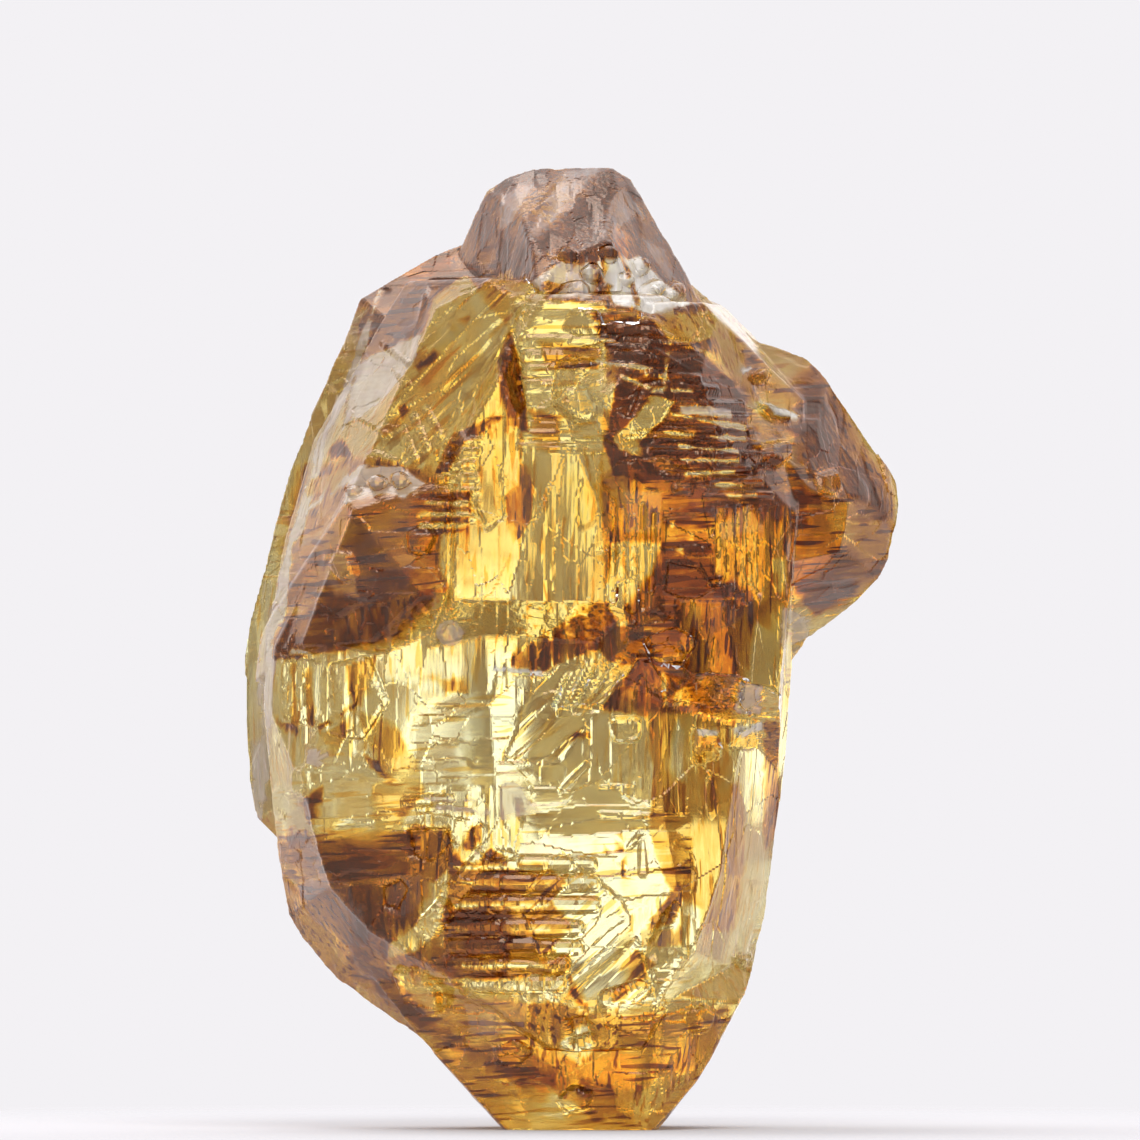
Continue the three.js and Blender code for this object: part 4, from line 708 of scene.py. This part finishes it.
    ("golden", [(0.5, 0.25), (0.83, 0.51), (1.13, 0.57), (1, 0.34), (0.67, 0.13)]),
    ("brown", [(0.07, 0.51), (0.39, 0.42), (0.43, 0.17), (0.2, 0.08), (0.03, 0.27)]),
    ("orange", [(-0.38, 1.57), (-0.25, 1.68), (-0.02, 1.64), (-0.02, 1.51), (-0.22, 1.46)]),
    ("straw", [(-0.53, 1.44), (-0.02, 1.44), (-0.02, 1.21), (-0.53, 1.21)]),
    ("amber", [(-0.38, 1.17), (-0.12, 1.19), (0.09, 1.14), (0.13, 1.06), (-0.12, 0.85), (-0.34, 0.91)]),
    ("pale", [(-0.12, 0.82), (0.16, 1.04), (0.2, 0.7), (0.07, 0.59), (-0.12, 0.74)]),
    ("brown", [(-0.02, 1.44), (0.09, 1.24), (0.15, 1.12), (0.07, 1.17), (-0.02, 1.27)]),
]

# %% [markdown]
# A patch is put on by its signed distance: how far a point is inside the outline, in mm. Noise bends that
# distance, so an edge wanders as a real growth edge does. The result is kept as two attributes of the
# mesh's points, which the material reads.


# %% Tone and haze at every point
EDGE = 0.01  # mm over which one face turns into the next
BROAD_EDGE = 0.1  # mm over which a broad field fades
WANDER = 0.035  # mm that an edge wanders
PALE = 0.03  # the tone where nothing is added
UPPER, RIGHT, FOOT_TONE, SPOTS = 0.13, 0.08, 0.42, 0.25  # what each part of the stone adds to it
CLOUDS = 0.14  # how far slow noise moves it


def finish_of(at, out):
    """The tone and haze at each point: a slow field, golden above, near the foot and at the right, and
    pale between, with noise and a few spots behind. Each patch is then laid over it in turn. A small
    patch is on the front only, and a broad one goes through to the back by its finish's last number.
    At the end the blades and grooves paint shade on the front: a little darker in the grooves and on
    the raised blades, and lighter on the sunk ones."""
    front = smoothstep(0.0, 0.25, -out[:, 1])
    tone = PALE + UPPER * smoothstep(3.5, 7.5, at[:, 2]) + RIGHT * smoothstep(0.8, 2.6, at[:, 0])
    tone += FOOT_TONE * (1 - smoothstep(0.2, 1.7, at[:, 2]))
    tone += CLOUDS * (noise(at, (0.9, 0.9, 1.1), 41) - 0.5)
    tone += (1 - front) * SPOTS * smoothstep(0.6, 0.75, noise(at, (0.8, 0.8, 1.2), 46))
    frost_and_sheen = 0.02 + 0.25 * smoothstep(0.6, 0.85, noise(at, (1.4, 1.4, 2.2), 43))
    bend = WANDER * (noise(at, (5, 5, 5), 44) + 0.6 * noise(at, (14, 14, 14), 45) - 0.8)
    plane = at[:, [0, 2]]
    # The patches lay their tone and haze over this field: the browns partly as painted shade, and the
    # mauve, lilac, silver, white, rib and rim haze patches as painted sheen, highlights and reflections.
    for name, outline in PATCHES:
        new_tone, new_frost_and_sheen, through = FINISHES[name]
        edge = BROAD_EDGE if through else EDGE
        low, high = np.min(outline, axis=0) - WANDER, np.max(outline, axis=0) + WANDER
        reach = through + (1 - through) * front
        near = np.flatnonzero(((plane > low) & (plane < high)).all(1) & (reach > 0))
        share = smoothstep(-edge, edge, inside(plane[near], outline) + bend[near]) * reach[near]
        tone[near] += share * (new_tone - tone[near])
        frost_and_sheen[near] += share * (new_frost_and_sheen - frost_and_sheen[near])
    blades, grooves = blades_and_grooves(at, out)
    # Painted shade along the relief: darker in the grooves and on raised blades, lighter on sunk ones.
    tone += front * (0.08 + 0.5 * tone) * blades + front * (0.04 + 0.15 * tone) * grooves
    return np.clip(tone, 0, 1), np.clip(frost_and_sheen, 0, 1)


def keep(mesh, name, values):
    """Adds a number at each point of the mesh under a name that a material can read."""
    layer = mesh.attributes.new(name, "FLOAT", "POINT")
    layer.data.foreach_set("value", values.astype(np.float32))


skin = crystal.data
at = array_of(skin.vertices, "co", 3) / MM
out = array_of(skin.vertex_normals, "vector", 3)
tone, frost_and_sheen = finish_of(at, out)
keep(skin, "tone", tone)
keep(skin, "frost_and_sheen", frost_and_sheen)
keep(skin, "grain", grain_of(at, out))
print(len(PATCHES), "patches; mean tone", tone.mean().round(2), "and haze", frost_and_sheen.mean().round(2))

# %% [markdown]
# ## Shader expressions
# Node trees are easier to read as sums. This class wraps one socket, so that `a * b + 1` adds the Math
# nodes itself. Other nodes come from the tree's one method, which sets the node up and then its sockets.


# %% Sockets that can be added and multiplied
class Value:
    """A node socket that takes part in sums, products and comparisons by adding Math nodes."""

    def __init__(self, tree, socket):
        self.tree, self.socket = tree, socket

    def math(self, operation, *others, first=None):
        sockets = dict(enumerate([first if first is not None else self, *others]))
        return self.tree.node("ShaderNodeMath", sockets, operation=operation)

    def __add__(self, other):
        return self.math("ADD", other)

    def __radd__(self, other):
        return self.math("ADD", self, first=other)

    def __sub__(self, other):
        return self.math("SUBTRACT", other)

    def __rsub__(self, other):
        return self.math("SUBTRACT", self, first=other)

    def __mul__(self, other):
        return self.math("MULTIPLY", other)

    def __gt__(self, other):
        return self.math("GREATER_THAN", other)

    def rise(self, low, high):
        """0 under low, 1 over high and a smooth rise between them."""
        sockets = {"Value": self, "From Min": low, "From Max": high}
        return self.tree.node("ShaderNodeMapRange", sockets, interpolation_type="SMOOTHSTEP")


class Tree:
    """A material's node tree, with one method that adds any node."""

    def __init__(self, material):
        material.use_nodes = True
        self.nodes, self.links = material.node_tree.nodes, material.node_tree.links
        self.nodes.clear()

    def node(self, kind, sockets=None, output=0, stops=None, **settings):
        """Adds a node: its settings and ramp stops first, then values or links by socket."""
        made = self.nodes.new(kind)
        for name, value in settings.items():
            setattr(made, name, value)
        for index, (place, colour) in enumerate(stops or []):
            stop = made.color_ramp.elements[index] if index < 2 else made.color_ramp.elements.new(place)
            stop.position, stop.color = place, (*colour, 1)
        for name, value in (sockets or {}).items():
            if isinstance(value, Value):
                self.links.new(value.socket, made.inputs[name])
            else:
                made.inputs[name].default_value = value
        return Value(self, made.outputs[output]) if made.outputs else None


# %% [markdown]
# ## Diamond
# Diamond bends light more than any other clear mineral, with an index of 2.417. Much of what shows is
# therefore the light from behind, folded many times inside. The body colour is a weak yellow that
# deepens with the length of the way, so it is an absorption in the volume. The brown and golden faces
# are coloured at the skin. Glass colours light once on the way in and once on the way out, and each
# time by the square root of its base colour, so the colours of the ramp are squared before use.

# %% The material of the crystal
DIAMOND_IOR = 2.417
TONES = [
    (0.0, (1.0, 1.0, 0.8)),
    (0.2, (1.0, 0.84, 0.33)),
    (0.4, (0.92, 0.54, 0.08)),
    (0.6, (0.6, 0.26, 0.03)),
    (0.8, (0.26, 0.07, 0.01)),
    (1.0, (0.09, 0.018, 0.005)),
]
GLINT = (0.5, 0.34, 0.24, 1)  # the colour of a reflection straight on
# The colours of the pale skin: the mauve-brown and the near white also serve as painted sheen and painted
# highlights.
FROST_AND_SHEEN_COLOURS = [(0.3, (0.3, 0.18, 0.14)), (0.5, (0.5, 0.43, 0.39)), (0.75, (0.95, 0.92, 0.88))]
BODY_COLOUR = (0.98, 0.88, 0.4, 1)
BODY_DENSITY = 25.0  # per metre
CLEAR_ROUGHNESS, ETCHED_ROUGHNESS = 0.15, 0.3
FINE_LINES = 0.000012  # metres that the finest strokes rise


def diamond():
    """Clear glass of diamond's index, coloured by the tone with its painted shade, under a thin pale skin
    where a face is etched and where a sheen or highlight is painted.
    """
    material = bpy.data.materials.new("rough diamond")
    tree = Tree(material)
    place = tree.node("ShaderNodeTexCoord", output="Object")
    tone = tree.node("ShaderNodeAttribute", output="Fac", attribute_name="tone")
    frost_and_sheen = tree.node("ShaderNodeAttribute", output="Fac", attribute_name="frost_and_sheen")
    grain = tree.node("ShaderNodeAttribute", output="Fac", attribute_name="grain")

    def turned(angle, scale):
        """The place turned about the Y axis and then stretched by a scale for each axis."""
        straight = tree.node("ShaderNodeMapping", {"Vector": place, "Rotation": (0, np.radians(angle), 0)})
        return tree.node("ShaderNodeMapping", {"Vector": straight, "Scale": scale})

    def either(share, first, second):
        """The first vector where the share is 0 and the second where it is 1."""
        return tree.node("ShaderNodeMix", {0: share, 4: first, 5: second}, output=1, data_type="VECTOR")

    level = turned(3, (1800, 1800, 20000))
    upright = turned(-2, (20000, 20000, 1800))
    slanted = turned(SLANT, (2000, 2000, 18000))
    way = either(grain > 0.75, either(grain > 0.25, level, upright), slanted)
    stroke = tree.node("ShaderNodeTexNoise", {"Vector": way, "Scale": 1.0, "Detail": 1.0})
    grit = tree.node("ShaderNodeTexNoise", {"Vector": place, "Scale": 6000.0, "Detail": 2.0})
    # Painted shade along the fine strokes that the bump raises: the tone is darker on their crests, darkest
    # on the highest, and a little lighter in their hollows.
    painted_stroke_shading = stroke.rise(0.57, 0.63) - stroke.rise(0.43, 0.37) * 0.4
    painted_crest_shade = stroke.rise(0.61, 0.65)
    varied = tone + (painted_stroke_shading + (grit - 0.5)) * (tone * 0.3 + 0.05) + painted_crest_shade * 0.18
    squared = [(stop, tuple(value**2 for value in colour)) for stop, colour in TONES]
    colour = tree.node("ShaderNodeValToRGB", {"Fac": varied}, stops=squared)
    bump = tree.node("ShaderNodeBump", {"Height": stroke, "Distance": FINE_LINES, "Strength": 0.22})
    clear = tree.node(
        "ShaderNodeBsdfPrincipled",
        {
            "Base Color": colour,
            "Normal": bump,
            "IOR": DIAMOND_IOR,
            "Roughness": CLEAR_ROUGHNESS,
            "Transmission Weight": 1.0,
            "Specular Tint": GLINT,
        },
    )
    # The pale skin: etched frost, and the painted sheen and highlights of the patches.
    pale = tree.node("ShaderNodeValToRGB", {"Fac": frost_and_sheen + (grit - 0.5) * 0.3}, stops=FROST_AND_SHEEN_COLOURS)
    frost_and_sheen_skin = tree.node(
        "ShaderNodeBsdfPrincipled",
        {"Base Color": pale, "Normal": bump, "IOR": DIAMOND_IOR, "Roughness": ETCHED_ROUGHNESS},
    )
    share = (frost_and_sheen + (stroke - 0.5) * 0.3).rise(0.0, 1.0)
    surface = tree.node("ShaderNodeMixShader", {0: share, 1: clear, 2: frost_and_sheen_skin})
    body = tree.node("ShaderNodeVolumeAbsorption", {"Color": BODY_COLOUR, "Density": BODY_DENSITY})
    tree.node("ShaderNodeOutputMaterial", {"Surface": surface, "Volume": body})
    return material


skin.materials.clear()
skin.materials.append(diamond())
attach(crystal, "root")
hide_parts("rough_diamond")

# %% [markdown]
# ## Studio
# Clear stones show their surroundings more than themselves. The studio is therefore a dome: bright
# behind, a little brighter above, and dimmer at the right and below, so that the steep faces there keep
# their own colour. One soft light above and behind and one above and in front pick out the ledges. The
# floor is a small pale disc that fades out, so that only a soft contact shadow is left.

# %% The dome, the light and the floor
BACKDROP = (0.896, 0.879, 0.905)
ALL_ROUND = 0.66  # the dome's brightness, as a share of the backdrop's
BEHIND, ABOVE = 1.0, 0.2  # what it gains behind and above
RIGHT_DIM, BELOW_DIM = 0.35, 0.3  # what it loses at the right and below
MIDDLE = Vector((0, 0, 0.0045))
FLOOR_RADIUS = 0.05


def studio():
    """A world whose brightness depends on the direction: a plain backdrop is what the camera sees."""
    world = bpy.data.worlds.new("studio")
    bpy.context.scene.world = world
    world.cycles.sampling_method = "NONE"
    tree = Tree(world)
    way = tree.node("ShaderNodeTexCoord", output="Generated")
    x, y, z = (tree.node("ShaderNodeSeparateXYZ", {"Vector": way}, output=axis) for axis in "XYZ")
    back = y.rise(0.2, 0.65)
    top = z.rise(0.75, 0.95)
    dim = x.rise(0.4, 0.9) * RIGHT_DIM + z.rise(-0.1, -0.6) * BELOW_DIM
    strength = ALL_ROUND + back * BEHIND + top * ABOVE - dim
    seen = tree.node("ShaderNodeLightPath", output="Is Camera Ray")
    level = strength + seen * (1.0 - strength)
    light = tree.node("ShaderNodeBackground", {"Color": (*BACKDROP, 1), "Strength": level})
    tree.node("ShaderNodeOutputWorld", {"Surface": light})


def soft_light(name, place, size, power):
    """A square area light that points at the middle of the crystal, with its power in watts."""
    light = bpy.data.lights.new(name, "AREA")
    light.size, light.energy = size, power
    holder = bpy.data.objects.new(name, light)
    holder.location = place
    aim = MIDDLE - Vector(place)
    holder.rotation_euler = aim.to_track_quat("-Z", "Y").to_euler()
    bpy.context.scene.collection.objects.link(holder)


def disc(name, radius, rings, spokes):
    """A flat disc: rings of points at equal steps of radius, each turned through a full circle."""
    distance, angle = np.meshgrid(np.linspace(0, radius, rings)[1:], np.arange(spokes) * 2 * np.pi / spokes)
    x, y = (distance * np.cos(angle)).T.ravel(), (distance * np.sin(angle)).T.ravel()
    corners = np.vstack([(0, 0, 0), np.column_stack([x, y, 0 * x])])
    here = np.arange(spokes)
    after = (here + 1) % spokes
    middle = np.column_stack([0 * here, 1 + here, 1 + after])
    inner = (1 + spokes * np.arange(rings - 2))[:, None]
    loops = np.stack([inner + here, inner + spokes + here, inner + spokes + after, inner + after], 2)
    mesh = bpy.data.meshes.new(name)
    mesh.from_pydata(corners.tolist(), [], middle.tolist() + loops.reshape(-1, 4).tolist())
    holder = bpy.data.objects.new(name, mesh)
    bpy.context.scene.collection.objects.link(holder)
    return holder


def paper():
    """A pale matt floor that fades to nothing away from the crystal."""
    material = bpy.data.materials.new("pale floor")
    tree = Tree(material)
    place = tree.node("ShaderNodeTexCoord", output="Object")
    away = tree.node("ShaderNodeVectorMath", {0: place}, output="Value", operation="LENGTH")
    matt = tree.node("ShaderNodeBsdfDiffuse", {"Color": (0.8, 0.79, 0.81, 1)})
    clear = tree.node("ShaderNodeBsdfTransparent")
    surface = tree.node("ShaderNodeMixShader", {0: away.rise(0.004, 0.014), 1: matt, 2: clear})
    tree.node("ShaderNodeOutputMaterial", {"Surface": surface})
    return material


studio()
soft_light("soft light above", (-0.02, 0.02, 0.07), 0.04, 0.013)
soft_light("soft light in front", (0.01, -0.07, 0.1), 0.06, 0.045)
floor = disc("floor", FLOOR_RADIUS, rings=12, spokes=48)
floor.data.materials.append(paper())

# %% [markdown]
# ## Camera
# A stone this small is looked at through a long lens from straight in front, which gives a flat view.
# The camera stands 0.3 m away at the height of the crystal's middle. Its view is 10.69 mm wide there.

# %% The camera and the colours of the picture
FRAME_WIDTH = 0.0106875
DISTANCE = 0.3
ASIDE, HEIGHT = -0.00002, 0.00523
SENSOR = 36.0  # millimetres, as Blender's cameras count
BOUNCES = 12  # enough for light that folds many times inside
camera_data = bpy.data.cameras.new("camera")
camera_data.sensor_width = SENSOR
camera_data.lens = SENSOR * DISTANCE / FRAME_WIDTH
camera_data.clip_start = 0.001
camera = bpy.data.objects.new("camera", camera_data)
camera.location = (ASIDE, -DISTANCE, HEIGHT)
camera.rotation_euler = (np.pi / 2, 0, 0)
scene = bpy.context.scene
scene.collection.objects.link(camera)
scene.camera = camera
scene.view_settings.view_transform = "Standard"
for kind in ("max_bounces", "transmission_bounces", "glossy_bounces", "transparent_max_bounces"):
    setattr(scene.cycles, kind, BOUNCES)
